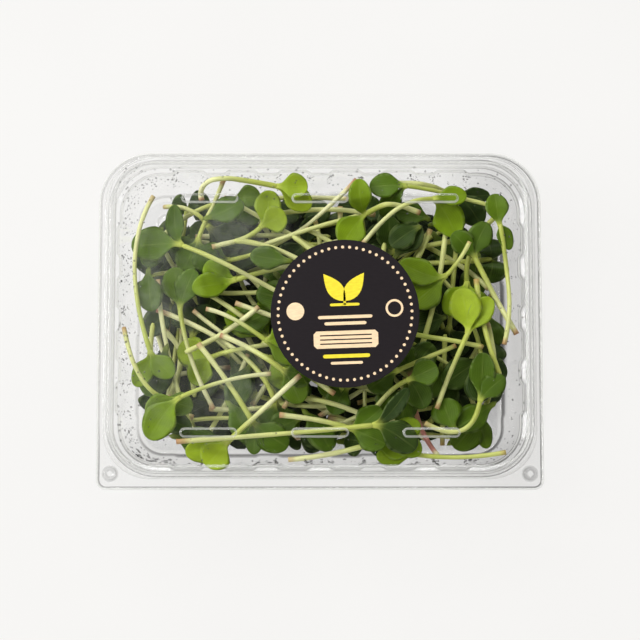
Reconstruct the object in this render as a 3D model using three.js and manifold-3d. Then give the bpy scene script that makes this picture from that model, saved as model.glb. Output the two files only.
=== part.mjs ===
// Sunflower microgreens in a clear hinged punnet.
// Millimetres, +Z up, +Y towards the hinge, +X along the hinge.
import * as THREE from 'three';
import { mergeVertices } from 'three/addons/utils/BufferGeometryUtils.js';
import { ParametricGeometry } from 'three/addons/geometries/ParametricGeometry.js';
import Module from 'manifold-3d';

const SHEET = 0.6;
const GAP = 0.3;

// Flange, the same outline on tray and lid
const FLANGE_HALF_X = 90.5;
const FLANGE_BACK = 68.85;
const FLANGE_FRONT = -68.85;
const FLANGE_BACK_CORNER = 20.5;
const FLANGE_FRONT_CORNER = 3.5;
const TRAY_HEIGHT = 33;

// Tray: wall outline at the foot and at the top of the flutes
const WALL_Y = 1.3;
const FOOT_HALF_X = 78.25;
const FOOT_HALF_Y = 56.2;
const FOOT_CORNER = 12;
const FOOT_ROUND = 2;
const MOUTH_HALF_X = 82.75;
const WALL_HEIGHT = 25.5;
const FLUTE_PITCH = 21.85;
const FLUTE_FLAT = 11;
const FLUTE_WIDTH = 14.8;
const FLUTE_DEPTH = 1.4;
const LONG_FLUTES = 6;
const SHORT_FLUTES = 4;
const LEDGE_WIDTH = 3.2;
const LEDGE_Z = 26.4;
const RIM_LEAN = 0.7;

// Lid: wall foot, raised border and sunken panel
const LID_FOOT_HALF_X = 88;
const LID_FOOT_BACK = 67.6;
const LID_FOOT_FRONT = -64.5;
const LID_FOOT_CORNER = 19;
const LID_INSET = 2.4;
const BORDER_Z = 46.2;
const BORDER_WIDTH = 1.9;
const BORDER_LEAN = 0.5;
const PANEL_Z = 45;
const RIB_LENGTH = 23;
const RIB_WIDTH = 3.8;
const RIB_HEIGHT = 1.6;
const RIB_PITCH = 44.7;
const RIB_BACK_Y = 48.4;
const RIB_FRONT_Y = -46.6;

// Snap closure at the two front corners
const SNAP_X = 85.2;
const SNAP_Y = -62.8;
const CUP_RADIUS = 3.15;
const CUP_HEIGHT = 2.2;
const STUD_RADIUS = 2.15;
const STUD_HEIGHT = 1.5;

// Label
const LABEL_RADIUS = 30;
const LABEL_THICK = 0.25;
const LABEL_X = 10.1;
const LABEL_Y = 1.4;

// Shoots
const STEM_RADIUS = 1.25;
const STEM_STEPS = 25;
const STEM_RINGS = 5;
const STEM_SIDES = 5;
const LOW_STEM_SIDES = 4;
const CROWN_OVERRUN = 1.4;
const LEAF_STEPS = 12;
const LEAF_STATIONS = [0, 0.24, 0.5, 0.8, 0.94, 1];
const LOW_LEAF_STATIONS = [0, 0.3, 0.6, 0.88, 1];
const LEAF_HALF_THICK = 0.6;
const PETIOLE_HALF = 1.15;
const CLEARANCE = 0.9;
const BED_Z = 3;
const PILE_Z = 9;
const PILE_RISE = 25;
const BUNCH_COLUMNS = 4;
const BUNCH_ROWS = 2;
const BUNCH_SHOOTS = 3;
const BUNCH_PITCH_X = 39;
const BUNCH_PITCH_Y = 50;
const REACH_X = 71;
const REACH_Y = 49;

const wasm = await Module();
wasm.setup();

function toSolid(geometry) {
  const bare = geometry.index ? geometry.toNonIndexed() : geometry.clone();
  bare.deleteAttribute('normal');
  bare.deleteAttribute('uv');
  const merged = mergeVertices(bare, 1e-4);
  const corners = merged.index.array;
  const kept = [];
  for (let i = 0; i < corners.length; i += 3) {
    const [a, b, c] = corners.slice(i, i + 3);
    if (a !== b && b !== c && c !== a) kept.push(a, b, c);
  }
  const vertProperties = merged.attributes.position.array;
  return new wasm.Manifold(new wasm.Mesh({ numProp: 3, vertProperties, triVerts: new Uint32Array(kept) }));
}

function toMesh(solid, name, material) {
  const { vertProperties, triVerts } = solid.getMesh();
  const geometry = new THREE.BufferGeometry();
  geometry.setAttribute('position', new THREE.BufferAttribute(vertProperties, 3));
  geometry.setIndex(new THREE.BufferAttribute(triVerts, 1));
  geometry.computeVertexNormals();
  const mesh = new THREE.Mesh(geometry, material);
  mesh.name = name;
  return mesh;
}

// Rounded outline, clockwise from above, as points at one height.
// Breaks are the flute edges along each side.
function outline({ right, back, front, backCorner, frontCorner, z, flute = 0, flutes = true, arc = 4 }) {
  const middle = WALL_Y;
  const points = [];
  const breaks = (count) => {
    const list = [];
    for (let k = 0; k < count; k += 1) {
      const centre = (k - (count - 1) / 2) * FLUTE_PITCH;
      list.push([centre - FLUTE_WIDTH / 2, 0], [centre - FLUTE_FLAT / 2, flute]);
      list.push([centre + FLUTE_FLAT / 2, flute], [centre + FLUTE_WIDTH / 2, 0]);
    }
    return flutes ? list : [];
  };
  const corner = (cx, cy, radius, from) => {
    for (let k = 0; k <= arc; k += 1) {
      const angle = from - (k / arc) * (Math.PI / 2);
      points.push(new THREE.Vector3(cx + radius * Math.cos(angle), cy + radius * Math.sin(angle), z));
    }
  };
  breaks(LONG_FLUTES).forEach(([s, d]) => points.push(new THREE.Vector3(s, back + d, z)));
  corner(right - backCorner, back - backCorner, backCorner, Math.PI / 2);
  breaks(SHORT_FLUTES).forEach(([s, d]) => points.push(new THREE.Vector3(right + d, middle - s, z)));
  corner(right - frontCorner, front + frontCorner, frontCorner, 0);
  breaks(LONG_FLUTES).forEach(([s, d]) => points.push(new THREE.Vector3(-s, front - d, z)));
  corner(-right + frontCorner, front + frontCorner, frontCorner, -Math.PI / 2);
  breaks(SHORT_FLUTES).forEach(([s, d]) => points.push(new THREE.Vector3(-right - d, middle + s, z)));
  corner(-right + backCorner, back - backCorner, backCorner, Math.PI);
  return points;
}

function point(z, like) {
  return like.map(() => new THREE.Vector3(0, WALL_Y, z));
}

function loft(rings) {
  const count = rings[0].length;
  const place = (u, v, target) => {
    const ring = rings[Math.round(v * (rings.length - 1))];
    target.copy(ring[Math.round(u * count) % count]);
  };
  return new ParametricGeometry(place, count, rings.length - 1);
}

function flangeRing(z, options) {
  return outline({
    right: FLANGE_HALF_X,
    back: FLANGE_BACK,
    front: FLANGE_FRONT,
    backCorner: FLANGE_BACK_CORNER,
    frontCorner: FLANGE_FRONT_CORNER,
    z,
    ...options,
  });
}

// Tray wall outline: foot grown outwards by a given amount
function wallRing(grow, z, flute) {
  return outline({
    right: FOOT_HALF_X + grow,
    back: WALL_Y + FOOT_HALF_Y + grow,
    front: WALL_Y - FOOT_HALF_Y - grow,
    backCorner: FOOT_CORNER + grow,
    frontCorner: FOOT_CORNER + grow,
    z,
    flute,
  });
}

function lidRing(inset, z, options) {
  return outline({
    right: LID_FOOT_HALF_X - inset,
    back: LID_FOOT_BACK - inset,
    front: LID_FOOT_FRONT + inset,
    backCorner: LID_FOOT_CORNER - inset,
    frontCorner: LID_FOOT_CORNER - inset,
    z,
    ...options,
  });
}

function makeTray() {
  const draft = MOUTH_HALF_X - FOOT_HALF_X;
  const ledge = draft + LEDGE_WIDTH;
  const floor = wallRing(-FOOT_ROUND - SHEET, SHEET, 0);
  const rings = [
    point(SHEET, floor),
    floor,
    wallRing(-SHEET, FOOT_ROUND + SHEET, 0.6),
    wallRing(draft - SHEET, LEDGE_Z + SHEET, FLUTE_DEPTH),
    wallRing(ledge - SHEET, LEDGE_Z + SHEET, 0),
    wallRing(ledge + RIM_LEAN - SHEET, TRAY_HEIGHT, 0),
    flangeRing(TRAY_HEIGHT),
    flangeRing(TRAY_HEIGHT - SHEET),
    wallRing(ledge + RIM_LEAN, TRAY_HEIGHT - SHEET, 0),
    wallRing(ledge, LEDGE_Z, 0),
    wallRing(draft, WALL_HEIGHT, FLUTE_DEPTH),
    wallRing(0, FOOT_ROUND, 0.6),
    wallRing(-FOOT_ROUND, 0, 0),
    point(0, floor),
  ];
  let tray = toSolid(loft(rings));
  for (const side of [-1, 1]) {
    const stud = new THREE.CylinderGeometry(STUD_RADIUS, STUD_RADIUS, STUD_HEIGHT + 0.3, 12);
    stud.rotateX(Math.PI / 2);
    stud.translate(side * SNAP_X, SNAP_Y, TRAY_HEIGHT + STUD_HEIGHT / 2 - 0.15);
    tray = tray.add(toSolid(stud));
  }
  return tray;
}

function ribBlock(width, length, bottom, top) {
  const half = length / 2 - width / 2;
  const shape = new THREE.Shape();
  shape.absarc(half, 0, width / 2, -Math.PI / 2, Math.PI / 2);
  shape.absarc(-half, 0, width / 2, Math.PI / 2, Math.PI * 1.5);
  const depth = top - bottom;
  const block = new THREE.ExtrudeGeometry(shape, { depth, bevelEnabled: false, curveSegments: 4 });
  block.translate(0, 0, bottom);
  return block;
}

function makeLid() {
  const plain = { flutes: false, arc: 5 };
  const foot = TRAY_HEIGHT + GAP;
  const inner = LID_INSET + BORDER_WIDTH;
  const panel = lidRing(inner + BORDER_LEAN, PANEL_Z, plain);
  const rings = [
    point(PANEL_Z, panel),
    panel,
    lidRing(inner, BORDER_Z, plain),
    lidRing(LID_INSET, BORDER_Z, plain),
    lidRing(0, foot + SHEET, plain),
    flangeRing(foot + SHEET, plain),
    flangeRing(foot, plain),
    lidRing(SHEET, foot, plain),
    lidRing(LID_INSET + SHEET, BORDER_Z - SHEET, plain),
    lidRing(inner - SHEET, BORDER_Z - SHEET, plain),
    lidRing(inner + BORDER_LEAN - SHEET, PANEL_Z - SHEET, plain),
    point(PANEL_Z - SHEET, panel),
  ];
  let lid = toSolid(loft(rings));
  for (const y of [RIB_FRONT_Y, RIB_BACK_Y]) {
    for (const step of [-1, 0, 1]) {
      const top = PANEL_Z + RIB_HEIGHT;
      const crest = ribBlock(RIB_WIDTH, RIB_LENGTH, PANEL_Z - SHEET / 2, top);
      const hollow = ribBlock(RIB_WIDTH - 2 * SHEET, RIB_LENGTH - 2 * SHEET, PANEL_Z - 2, top - SHEET);
      crest.translate(step * RIB_PITCH, y, 0);
      hollow.translate(step * RIB_PITCH, y, 0);
      lid = lid.add(toSolid(crest)).subtract(toSolid(hollow));
    }
  }
  for (const side of [-1, 1]) {
    const cup = new THREE.CylinderGeometry(CUP_RADIUS, CUP_RADIUS, CUP_HEIGHT, 12);
    cup.rotateX(Math.PI / 2);
    cup.translate(side * SNAP_X, SNAP_Y, foot + CUP_HEIGHT / 2 + 0.1);
    const hollow = new THREE.CylinderGeometry(CUP_RADIUS - SHEET, CUP_RADIUS - SHEET, CUP_HEIGHT, 12);
    hollow.rotateX(Math.PI / 2);
    hollow.translate(side * SNAP_X, SNAP_Y, foot + CUP_HEIGHT / 2 - 0.5);
    lid = lid.add(toSolid(cup)).subtract(toSolid(hollow));
  }
  return lid;
}

function makeLabel() {
  const label = new THREE.CylinderGeometry(LABEL_RADIUS, LABEL_RADIUS, LABEL_THICK, 48);
  label.rotateX(Math.PI / 2);
  label.translate(LABEL_X, LABEL_Y, PANEL_Z + 0.05 + LABEL_THICK / 2);
  return toSolid(label);
}

let seed = 4127;
function random(low, high) {
  seed = (seed * 16807) % 2147483647;
  return low + ((high - low) * (seed - 1)) / 2147483646;
}

// Shoots from the bottom of the pile to the top. Each: cut end, middle of the stem, crown,
// then two leaves given as tip and width, and a tone from 0 dark to 3 pale.
const SHOOTS = [];

function grow(cut, middle, crown, leafA, leafB, tone) {
  SHOOTS.push({ cut, middle, crown, leaves: [leafA, leafB], tone });
}

const clamp = (value, limit) => Math.max(-limit, Math.min(limit, value));

// Lower bunches: shoots that cross at one point and hold together there
const BUNCHES = [];
for (let k = 0; k < BUNCH_COLUMNS * BUNCH_ROWS; k += 1) {
  const x = ((k % BUNCH_COLUMNS) - (BUNCH_COLUMNS - 1) / 2) * BUNCH_PITCH_X + random(-5, 5);
  const y = (Math.floor(k / BUNCH_COLUMNS) - (BUNCH_ROWS - 1) / 2) * BUNCH_PITCH_Y + random(-4, 4);
  const first = random(0, Math.PI);
  const bunch = [];
  for (let n = 0; n < BUNCH_SHOOTS; n += 1) {
    const turn = first + (n * 2 * Math.PI) / BUNCH_SHOOTS + random(-0.3, 0.3);
    const half = random(20, 28);
    const along = (reach, side) => [
      clamp(x + reach * Math.cos(turn) - side * Math.sin(turn), REACH_X),
      WALL_Y + clamp(y + reach * Math.sin(turn) + side * Math.cos(turn), REACH_Y),
    ];
    const leafA = [...along(half + 11, random(8, 12)), random(11.5, 14)];
    const leafB = [...along(half + 11, -random(8, 12)), random(11.5, 14)];
    const middle = [x, WALL_Y + y];
    bunch.push({ cut: along(-half, 0), middle, crown: along(half, 0), leaves: [leafA, leafB] });
  }
  BUNCHES.push(bunch);
}

grow([-30, -20], [-46, -4], [-60, 6], [-75, 15, 12], [-74, -4, 12], 0);
grow([50, 20], [62, 4], [67, -14], [78, -22, 11], [74, -33, 11], 0);
grow([10, -34], [-8, -34], [-25, -30], [-42, -40, 11], [-36, -17, 10], 0);
grow([12, 37], [3, 35], [-4, 34.5], [-17, 24, 13], [-2, 47, 9], 0);
grow([26, 58], [42, 58], [56, 55], [72, 55, 7], [68, 42, 12], 0);
grow([36, -12], [24, -20], [13, -26], [5, -38, 11], [-1, -25, 11], 1);
grow([6, -30], [-10, -18], [-21, -7], [-40, 5, 13], [-24, 12, 7], 2);
grow([-70, 34], [-56, 46], [-38, 53], [-27, 43, 11.5], [-25, 54, 10], 1);
grow([-63, -31], [-59, -19], [-54, -6], [-46, 8, 12], [-61, 9, 12], 0);
grow([72, 49], [56, 53], [37, 56.5], [20.5, 56, 11], [26, 46, 9], 1);
grow([70, 0], [72, -20], [68, -36], [56, -52, 14], [70, -52, 8], 1);
grow([-66, 50], [-55, 48], [-48, 42.5], [-29, 36, 13], [-36, 27, 12], 0);
grow([15, 59], [-13, 37], [-37, 27], [-51, 31, 12], [-47, 17, 12], 1);
grow([-40, 59], [-46, 47], [-50.5, 36.5], [-58, 22, 12], [-43, 21, 12], 1);
grow([56, 35], [45, 33], [33, 31], [29, 45, 12], [17, 25, 12], 0);
grow([-6, 40], [4, 35], [14, 28], [27, 18, 13], [12, 12, 13], 2);
grow([54, -17.5], [47, -13], [38.5, -8.5], [25, -20, 12], [23, -3, 12], 1);
grow([48.5, -55], [41, -41], [38, -24], [30, -9, 12], [47, -9, 12], 1);
grow([78, 48], [65, 34.5], [61.5, 18.5], [52, 4, 12], [68, 2, 12], 2);
grow([-53, 5.5], [-37, -6.5], [-22, -14], [-7, -11, 12], [-13, -28, 12], 2);
grow([-68, 5.5], [-35, -11.5], [-19, -32], [-25, -48, 11], [-10, -46, 11], 1);
grow([-14, -8], [-33, -11.5], [-44.5, -14], [-59, -9.5, 13.5], [-52, -26, 11], 3);
grow([-44, -36], [-53, -16], [-58, 4.5], [-61, 23.5, 13], [-52, 22, 11], 1);
grow([10, 26], [-12, 24], [-34, 18.5], [-53, 13.5, 11], [-48, 24, 12], 2);
grow([-12, 10], [-36, 22], [-56.5, 31.5], [-79, 32, 15], [-61, 50, 8], 1);
grow([-45, 31.5], [-33, 35], [-25.5, 39.5], [-14, 45, 12], [-21, 56, 11.5], 3);
grow([-49.5, 51.5], [-44, 58.5], [-19, 57], [-5, 56.5, 11], [-4, 48, 11], 3);
grow([41.5, 45.5], [30, 48], [20, 46], [9.5, 32.5, 13.5], [16, 59, 10], 2);
grow([17, 31.5], [31, 45], [46, 50.5], [57, 36, 14], [61, 53, 9], 2);
grow([81, -5.5], [73, 10], [65, 26], [70, 42, 11], [55, 37, 10], 1);
grow([75.5, -10], [78, 12], [75, 39], [73, 54, 10], [79, 30, 7], 1);
grow([62, 33], [58, 26], [53, 20], [38, 7, 14], [33, 25, 11.5], 2);
grow([56, -10], [44.5, -15], [33, -20], [20, -28, 12], [18, -15, 12], 1);
grow([67, -10.5], [53, -8], [39, -5.5], [24, 3, 13], [25, -14, 13], 2);
grow([48, -36], [54.5, -19], [60, -6.5], [58, 14, 14], [71, 10, 10], 3);
grow([19.5, -40], [28, -30], [35, -25], [48, -19, 12], [43, -36, 12], 1);
grow([43, -42], [58, -45], [65.5, -34], [67, -13, 11], [76, -23, 10], 1);
grow([76, -54], [57.5, -56], [40, -55], [25, -50, 10], [23, -56, 9], 2);
grow([-13, -57], [7.5, -54], [27, -48.5], [41, -42, 10], [41, -55, 10], 2);
grow([-47, 5], [-36, 1], [-23, -7.5], [-10, -2, 12], [-8, -16, 12], 2);
grow([-41, -6], [-29, -11.5], [-16, -20], [-3, -22, 12], [-8, -34, 12], 1);
grow([-69, 52], [-76.5, 24], [-70, -12], [-76, -27, 9], [-60, -23, 10], 2);
grow([-80.5, -3], [-74, -22], [-65, -31.5], [-71, -40, 9], [-52, -36, 10], 1);
grow([-50, -9.5], [-38.5, -24.5], [-28.5, -40], [-27, -55, 8], [-13, -52, 13], 1);
grow([-8, -23], [-24, -37.5], [-36.5, -49], [-46, -60, 13.5], [-55, -54, 11], 3);
grow([-20, -22], [-38, -25], [-56, -31.5], [-69.5, -49, 14], [-71, -38.5, 11], 2);
grow([-16.5, -39], [-1, -41], [11, -44], [27, -51, 12], [25, -36, 11], 2);
grow([-58, -50], [-19, -47], [20.5, -43.5], [36, -28, 7], [39, -53, 13], 1);

// Height of whatever lies in the tray so far, on a grid of one millimetre
const GRID_X = 96;
const GRID_Y = 76;
const COLUMNS = 2 * GRID_X + 1;
const heights = new Float64Array(COLUMNS * (2 * GRID_Y + 1));

function trayTop(x, y) {
  const qx = Math.abs(x) - (FOOT_HALF_X - FOOT_CORNER);
  const qy = Math.abs(y - WALL_Y) - (FOOT_HALF_Y - FOOT_CORNER);
  const beyond = Math.sqrt(Math.max(qx, 0) ** 2 + Math.max(qy, 0) ** 2) + Math.min(Math.max(qx, qy), 0);
  const out = beyond - FOOT_CORNER + SHEET + 0.6;
  const draft = MOUTH_HALF_X - FOOT_HALF_X;
  if (out <= 0) return SHEET;
  if (out <= draft) return FOOT_ROUND + SHEET + (out / draft) * (LEDGE_Z - FOOT_ROUND);
  return out <= draft + LEDGE_WIDTH ? LEDGE_Z + SHEET : TRAY_HEIGHT + 1;
}

for (let row = -GRID_Y; row <= GRID_Y; row += 1) {
  for (let column = -GRID_X; column <= GRID_X; column += 1) {
    heights[(row + GRID_Y) * COLUMNS + column + GRID_X] = trayTop(column, row);
  }
}

function eachCell(x, y, radius, visit) {
  const reach = Math.ceil(radius);
  const nearX = Math.floor(x + 0.5);
  const nearY = Math.floor(y + 0.5);
  for (let row = nearY - reach; row <= nearY + reach; row += 1) {
    for (let column = nearX - reach; column <= nearX + reach; column += 1) {
      const apart = (column - x) ** 2 + (row - y) ** 2;
      if (apart <= (radius + 0.5) ** 2) visit((row + GRID_Y) * COLUMNS + column + GRID_X);
    }
  }
}

function highest(x, y, radius) {
  let top = 0;
  eachCell(x, y, radius, (cell) => {
    top = Math.max(top, heights[cell]);
  });
  return top;
}

function raise(x, y, radius, z) {
  eachCell(x, y, radius, (cell) => {
    heights[cell] = Math.max(heights[cell], z);
  });
}

// Smooth line that is nowhere below the given needs
function drape(needs, window) {
  const near = (list, i) => list.slice(Math.max(0, i - window), i + window + 1);
  const eachNear = (list, pick) => list.map((_, i) => pick(near(list, i)));
  const crests = eachNear(needs, (part) => Math.max(...part));
  return eachNear(crests, (part) => part.reduce((sum, value) => sum + value, 0) / part.length);
}

function bend(a, b, c, t) {
  const s = 1 - t;
  return [0, 1].map((k) => s * s * a[k] + 2 * s * t * b[k] + t * t * c[k]);
}

// Spoon outline of a cotyledon: half width along its length
function halfWidth(t, width) {
  const u = (t - 0.22) / 0.78;
  if (u <= 0) return PETIOLE_HALF;
  if (u >= 0.58) return (width / 2) * Math.sqrt(Math.max(0, 1 - ((u - 0.58) / 0.42) ** 2));
  const ease = (u / 0.58) ** 1.1;
  return PETIOLE_HALF + (width / 2 - PETIOLE_HALF) * ease * ease * (3 - 2 * ease);
}

function planLeaf(crown, heading, [tipX, tipY, width]) {
  const length = Math.sqrt((tipX - crown[0]) ** 2 + (tipY - crown[1]) ** 2);
  const knee = [crown[0] + heading[0] * length * 0.28, crown[1] + heading[1] * length * 0.28];
  const lift = random(0.02, 0.2) * length;
  const droop = random(0.05, 0.22) * length;
  const cup = random(0.4, 1.8);
  const roll = random(-0.22, 0.22);
  const axis = [];
  for (let k = 0; k <= LEAF_STEPS; k += 1) {
    const t = k / LEAF_STEPS;
    const [x, y] = bend(crown, knee, [tipX, tipY], t);
    axis.push({ t, x, y, half: halfWidth(t, width), rise: lift * t * 2 - droop * t * t });
  }
  axis.forEach((p, k) => {
    const a = axis[Math.max(0, k - 1)];
    const b = axis[Math.min(LEAF_STEPS, k + 1)];
    const size = Math.sqrt((b.x - a.x) ** 2 + (b.y - a.y) ** 2);
    p.left = [-(b.y - a.y) / size, (b.x - a.x) / size];
    p.tilt = (v) => (cup * v * v * p.half * 2) / width + roll * v * p.half;
  });
  return axis;
}

const ACROSS = [-1, -0.5, 0, 0.5, 1];

// Plan of one shoot and the lowest smooth lines that clear what lies beneath it
function layOut({ cut, middle, crown, leaves }, level) {
  const knee = [0, 1].map((k) => 2 * middle[k] - (cut[k] + crown[k]) / 2);
  const stem = [];
  for (let k = 0; k <= STEM_STEPS; k += 1) {
    const [x, y] = bend(cut, knee, crown, k / STEM_STEPS);
    stem.push({ x, y });
  }
  const run = [crown[0] - knee[0], crown[1] - knee[1]];
  const size = Math.sqrt(run[0] ** 2 + run[1] ** 2);
  const heading = [run[0] / size, run[1] / size];
  const blades = leaves.map((leaf) => planLeaf(crown, heading, leaf));
  const stemNeeds = stem.map(
    (p) => Math.max(level, highest(p.x, p.y, STEM_RADIUS + 0.4) + STEM_RADIUS + CLEARANCE),
  );
  const bladeNeeds = blades.map((axis) =>
    axis.map((p) => {
      const under = ACROSS.map((v) => {
        const x = p.x + p.left[0] * v * p.half;
        const y = p.y + p.left[1] * v * p.half;
        return highest(x, y, 0.7) - p.tilt(v);
      });
      return Math.max(level, Math.max(...under) + LEAF_HALF_THICK + CLEARANCE) - p.rise;
    }),
  );
  const both = bladeNeeds[0].map((need, k) => Math.max(need, bladeNeeds[1][k]));
  const line = drape([...stemNeeds, ...both.slice(1)], 4).slice(0, STEM_STEPS + 1);
  const bladeLines = bladeNeeds.map((needs) => drape(needs, 2));
  const top = Math.max(line[STEM_STEPS], bladeLines[0][0], bladeLines[1][0]);
  return { stem, blades, line, bladeLines, top };
}

function setHeights({ stem, blades, line, bladeLines, top }) {
  stem.forEach((p, k) => {
    p.z = line[k] + (top - line[STEM_STEPS]) * (k / STEM_STEPS) ** 4;
  });
  blades.forEach((axis, side) =>
    axis.forEach((p, k) => {
      p.z = bladeLines[side][k] + p.rise + (top - bladeLines[side][0]) * (1 - p.t) ** 2;
    }),
  );
}

// Adds a shoot to the height of the pile
function mark({ stem, blades }) {
  stem.forEach((p) => raise(p.x, p.y, STEM_RADIUS + 0.2, p.z + STEM_RADIUS));
  blades.forEach((axis) =>
    axis.forEach((p) => {
      for (const v of ACROSS) {
        const x = p.x + p.left[0] * v * p.half;
        const y = p.y + p.left[1] * v * p.half;
        raise(x, y, 0.9, p.z + p.tilt(v) + LEAF_HALF_THICK);
      }
    }),
  );
}

function settleShoot(shoot, level) {
  const laid = layOut(shoot, level);
  setHeights(laid);
  mark(laid);
  return laid;
}

// A bunch lies level, so that its stems meet
function settleBunch(bunch) {
  const laid = bunch.map((shoot) => layOut(shoot, BED_Z));
  const level = Math.max(...laid.flatMap(({ line, top }) => [...line, top]));
  laid.forEach((shoot) => {
    shoot.line.fill(level);
    shoot.top = level;
    setHeights(shoot);
  });
  laid.forEach(mark);
  return laid;
}

function stemGeometry(stem, sides) {
  const stations = [];
  for (let k = 0; k <= STEM_STEPS; k += STEM_STEPS / STEM_RINGS) {
    stations.push(new THREE.Vector3(stem[k].x, stem[k].y, stem[k].z));
  }
  const end = stations[STEM_RINGS];
  const before = new THREE.Vector3(stem[STEM_STEPS - 1].x, stem[STEM_STEPS - 1].y, stem[STEM_STEPS - 1].z);
  end.add(end.clone().sub(before).setLength(CROWN_OVERRUN));
  const section = new THREE.Shape();
  for (let k = 0; k < sides; k += 1) {
    const angle = (k / sides) * 2 * Math.PI;
    section[k ? 'lineTo' : 'moveTo'](STEM_RADIUS * Math.cos(angle), STEM_RADIUS * Math.sin(angle));
  }
  const extrudePath = new THREE.CatmullRomCurve3(stations);
  return new THREE.ExtrudeGeometry(section, { steps: STEM_RINGS, extrudePath, bevelEnabled: false });
}

function alongLeaf(axis, t) {
  const k = Math.min(LEAF_STEPS - 1, Math.floor(t * LEAF_STEPS));
  const share = t * LEAF_STEPS - k;
  const mix = (pick) => pick(axis[k]) * (1 - share) + pick(axis[k + 1]) * share;
  return { mix, near: axis[share < 0.5 ? k : k + 1] };
}

function bladeGeometry(axis, width, stations) {
  const rings = stations.map((t) => {
    const { mix, near } = alongLeaf(axis, t);
    const x = mix((p) => p.x);
    const y = mix((p) => p.y);
    const z = mix((p) => p.z);
    const closed = t === 0 || t === 1;
    const half = closed ? 0 : halfWidth(t, width);
    const thick = closed ? 0 : LEAF_HALF_THICK;
    const edge = (v) => new THREE.Vector3(
      x + near.left[0] * v * half,
      y + near.left[1] * v * half,
      z + (closed ? 0 : mix((p) => p.tilt(v))),
    );
    return [edge(1), new THREE.Vector3(x, y, z + thick), edge(-1), new THREE.Vector3(x, y, z - thick)];
  });
  return loft(rings);
}

const TONES = [0x2f5226, 0x5d8030, 0x86a03a, 0x9aa845];
const clear = { color: 0xe6ebe8, roughness: 0.08, metalness: 0, transparent: true, opacity: 0.25 };

const group = new THREE.Group();
group.name = 'sunflower_microgreens_tray';
group.add(toMesh(makeTray(), 'tray', new THREE.MeshStandardMaterial(clear)));
group.add(toMesh(makeLid(), 'lid', new THREE.MeshStandardMaterial(clear)));
const paper = new THREE.MeshStandardMaterial({ color: 0x2b2529, roughness: 0.6, metalness: 0 });
group.add(toMesh(makeLabel(), 'label', paper));

function shootSolid({ stem, blades }, { leaves }, sides, stations) {
  const parts = blades.map((axis, side) => toSolid(bladeGeometry(axis, leaves[side][2], stations)));
  return toSolid(stemGeometry(stem, sides)).add(parts[0]).add(parts[1]);
}

function leafGreen(tone) {
  return new THREE.MeshStandardMaterial({ color: TONES[tone], roughness: 0.55, metalness: 0 });
}

const twoDigits = (k) => String(k + 1).padStart(2, '0');

BUNCHES.forEach((bunch, k) => {
  const lowSolid = (laid, n) => shootSolid(laid, bunch[n], LOW_STEM_SIDES, LOW_LEAF_STATIONS);
  const solids = settleBunch(bunch).map(lowSolid);
  const joined = solids.reduce((whole, solid) => whole.add(solid));
  group.add(toMesh(joined, `lower_bunch_${twoDigits(k)}`, leafGreen(0)));
});

SHOOTS.forEach((shoot, k) => {
  const laid = settleShoot(shoot, PILE_Z + (PILE_RISE * k) / SHOOTS.length);
  const solid = shootSolid(laid, shoot, STEM_SIDES, LEAF_STATIONS);
  group.add(toMesh(solid, `shoot_${twoDigits(k)}`, leafGreen(shoot.tone)));
});

export default group;
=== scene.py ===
"""Sunflower microgreens in a clear hinged punnet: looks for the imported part."""
import math
import random

import bmesh
import bpy
from mathutils import Matrix, Vector
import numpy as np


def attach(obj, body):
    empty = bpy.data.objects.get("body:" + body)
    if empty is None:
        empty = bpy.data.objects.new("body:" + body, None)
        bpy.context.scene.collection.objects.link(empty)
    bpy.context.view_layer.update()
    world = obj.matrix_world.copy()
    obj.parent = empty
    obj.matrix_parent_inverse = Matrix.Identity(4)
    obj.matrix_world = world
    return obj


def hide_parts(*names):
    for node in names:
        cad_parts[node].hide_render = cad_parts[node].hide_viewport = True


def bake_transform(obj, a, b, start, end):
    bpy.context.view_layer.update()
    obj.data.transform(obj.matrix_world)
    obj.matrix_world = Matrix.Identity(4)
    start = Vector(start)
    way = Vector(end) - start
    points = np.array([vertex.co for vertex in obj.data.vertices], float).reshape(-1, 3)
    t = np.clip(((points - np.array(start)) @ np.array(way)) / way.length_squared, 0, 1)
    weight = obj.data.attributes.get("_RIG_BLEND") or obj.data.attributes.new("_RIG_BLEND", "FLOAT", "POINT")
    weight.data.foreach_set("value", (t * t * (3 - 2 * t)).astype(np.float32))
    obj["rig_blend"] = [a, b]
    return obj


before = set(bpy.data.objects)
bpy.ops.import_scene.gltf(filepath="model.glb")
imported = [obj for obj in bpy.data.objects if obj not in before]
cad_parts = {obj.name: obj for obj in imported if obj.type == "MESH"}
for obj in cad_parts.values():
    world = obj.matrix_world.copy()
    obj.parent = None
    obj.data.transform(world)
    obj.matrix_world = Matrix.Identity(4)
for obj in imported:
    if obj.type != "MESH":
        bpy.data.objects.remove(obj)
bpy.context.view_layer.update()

MM = 0.001
UP = Vector((0, 0, 1))

# Sheet and outlines of tray and lid, in millimetres as in the part's source
SHEET = 0.6
GAP = 0.3
FLANGE_HALF_X = 90.5
FLANGE_BACK = 68.85
FLANGE_FRONT = -68.85
FLANGE_BACK_CORNER = 20.5
FLANGE_FRONT_CORNER = 3.5
TRAY_HEIGHT = 33
WALL_Y = 1.3
FOOT_HALF_X = 78.25
FOOT_HALF_Y = 56.2
FOOT_CORNER = 12
FOOT_ROUND = 2
MOUTH_HALF_X = 82.75
FLUTE_PITCH = 21.85
FLUTE_DEPTH = 1.4
LONG_FLUTES = 6
SHORT_FLUTES = 4
LEDGE_WIDTH = 3.2
LEDGE_Z = 26.4
RIM_LEAN = 0.7
DRAFT = MOUTH_HALF_X - FOOT_HALF_X
LEDGE = DRAFT + LEDGE_WIDTH
LID_FOOT_HALF_X = 88
LID_FOOT_BACK = 67.6
LID_FOOT_FRONT = -64.5
LID_FOOT_CORNER = 19
LID_INSET = 2.4
BORDER_Z = 46.2
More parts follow.
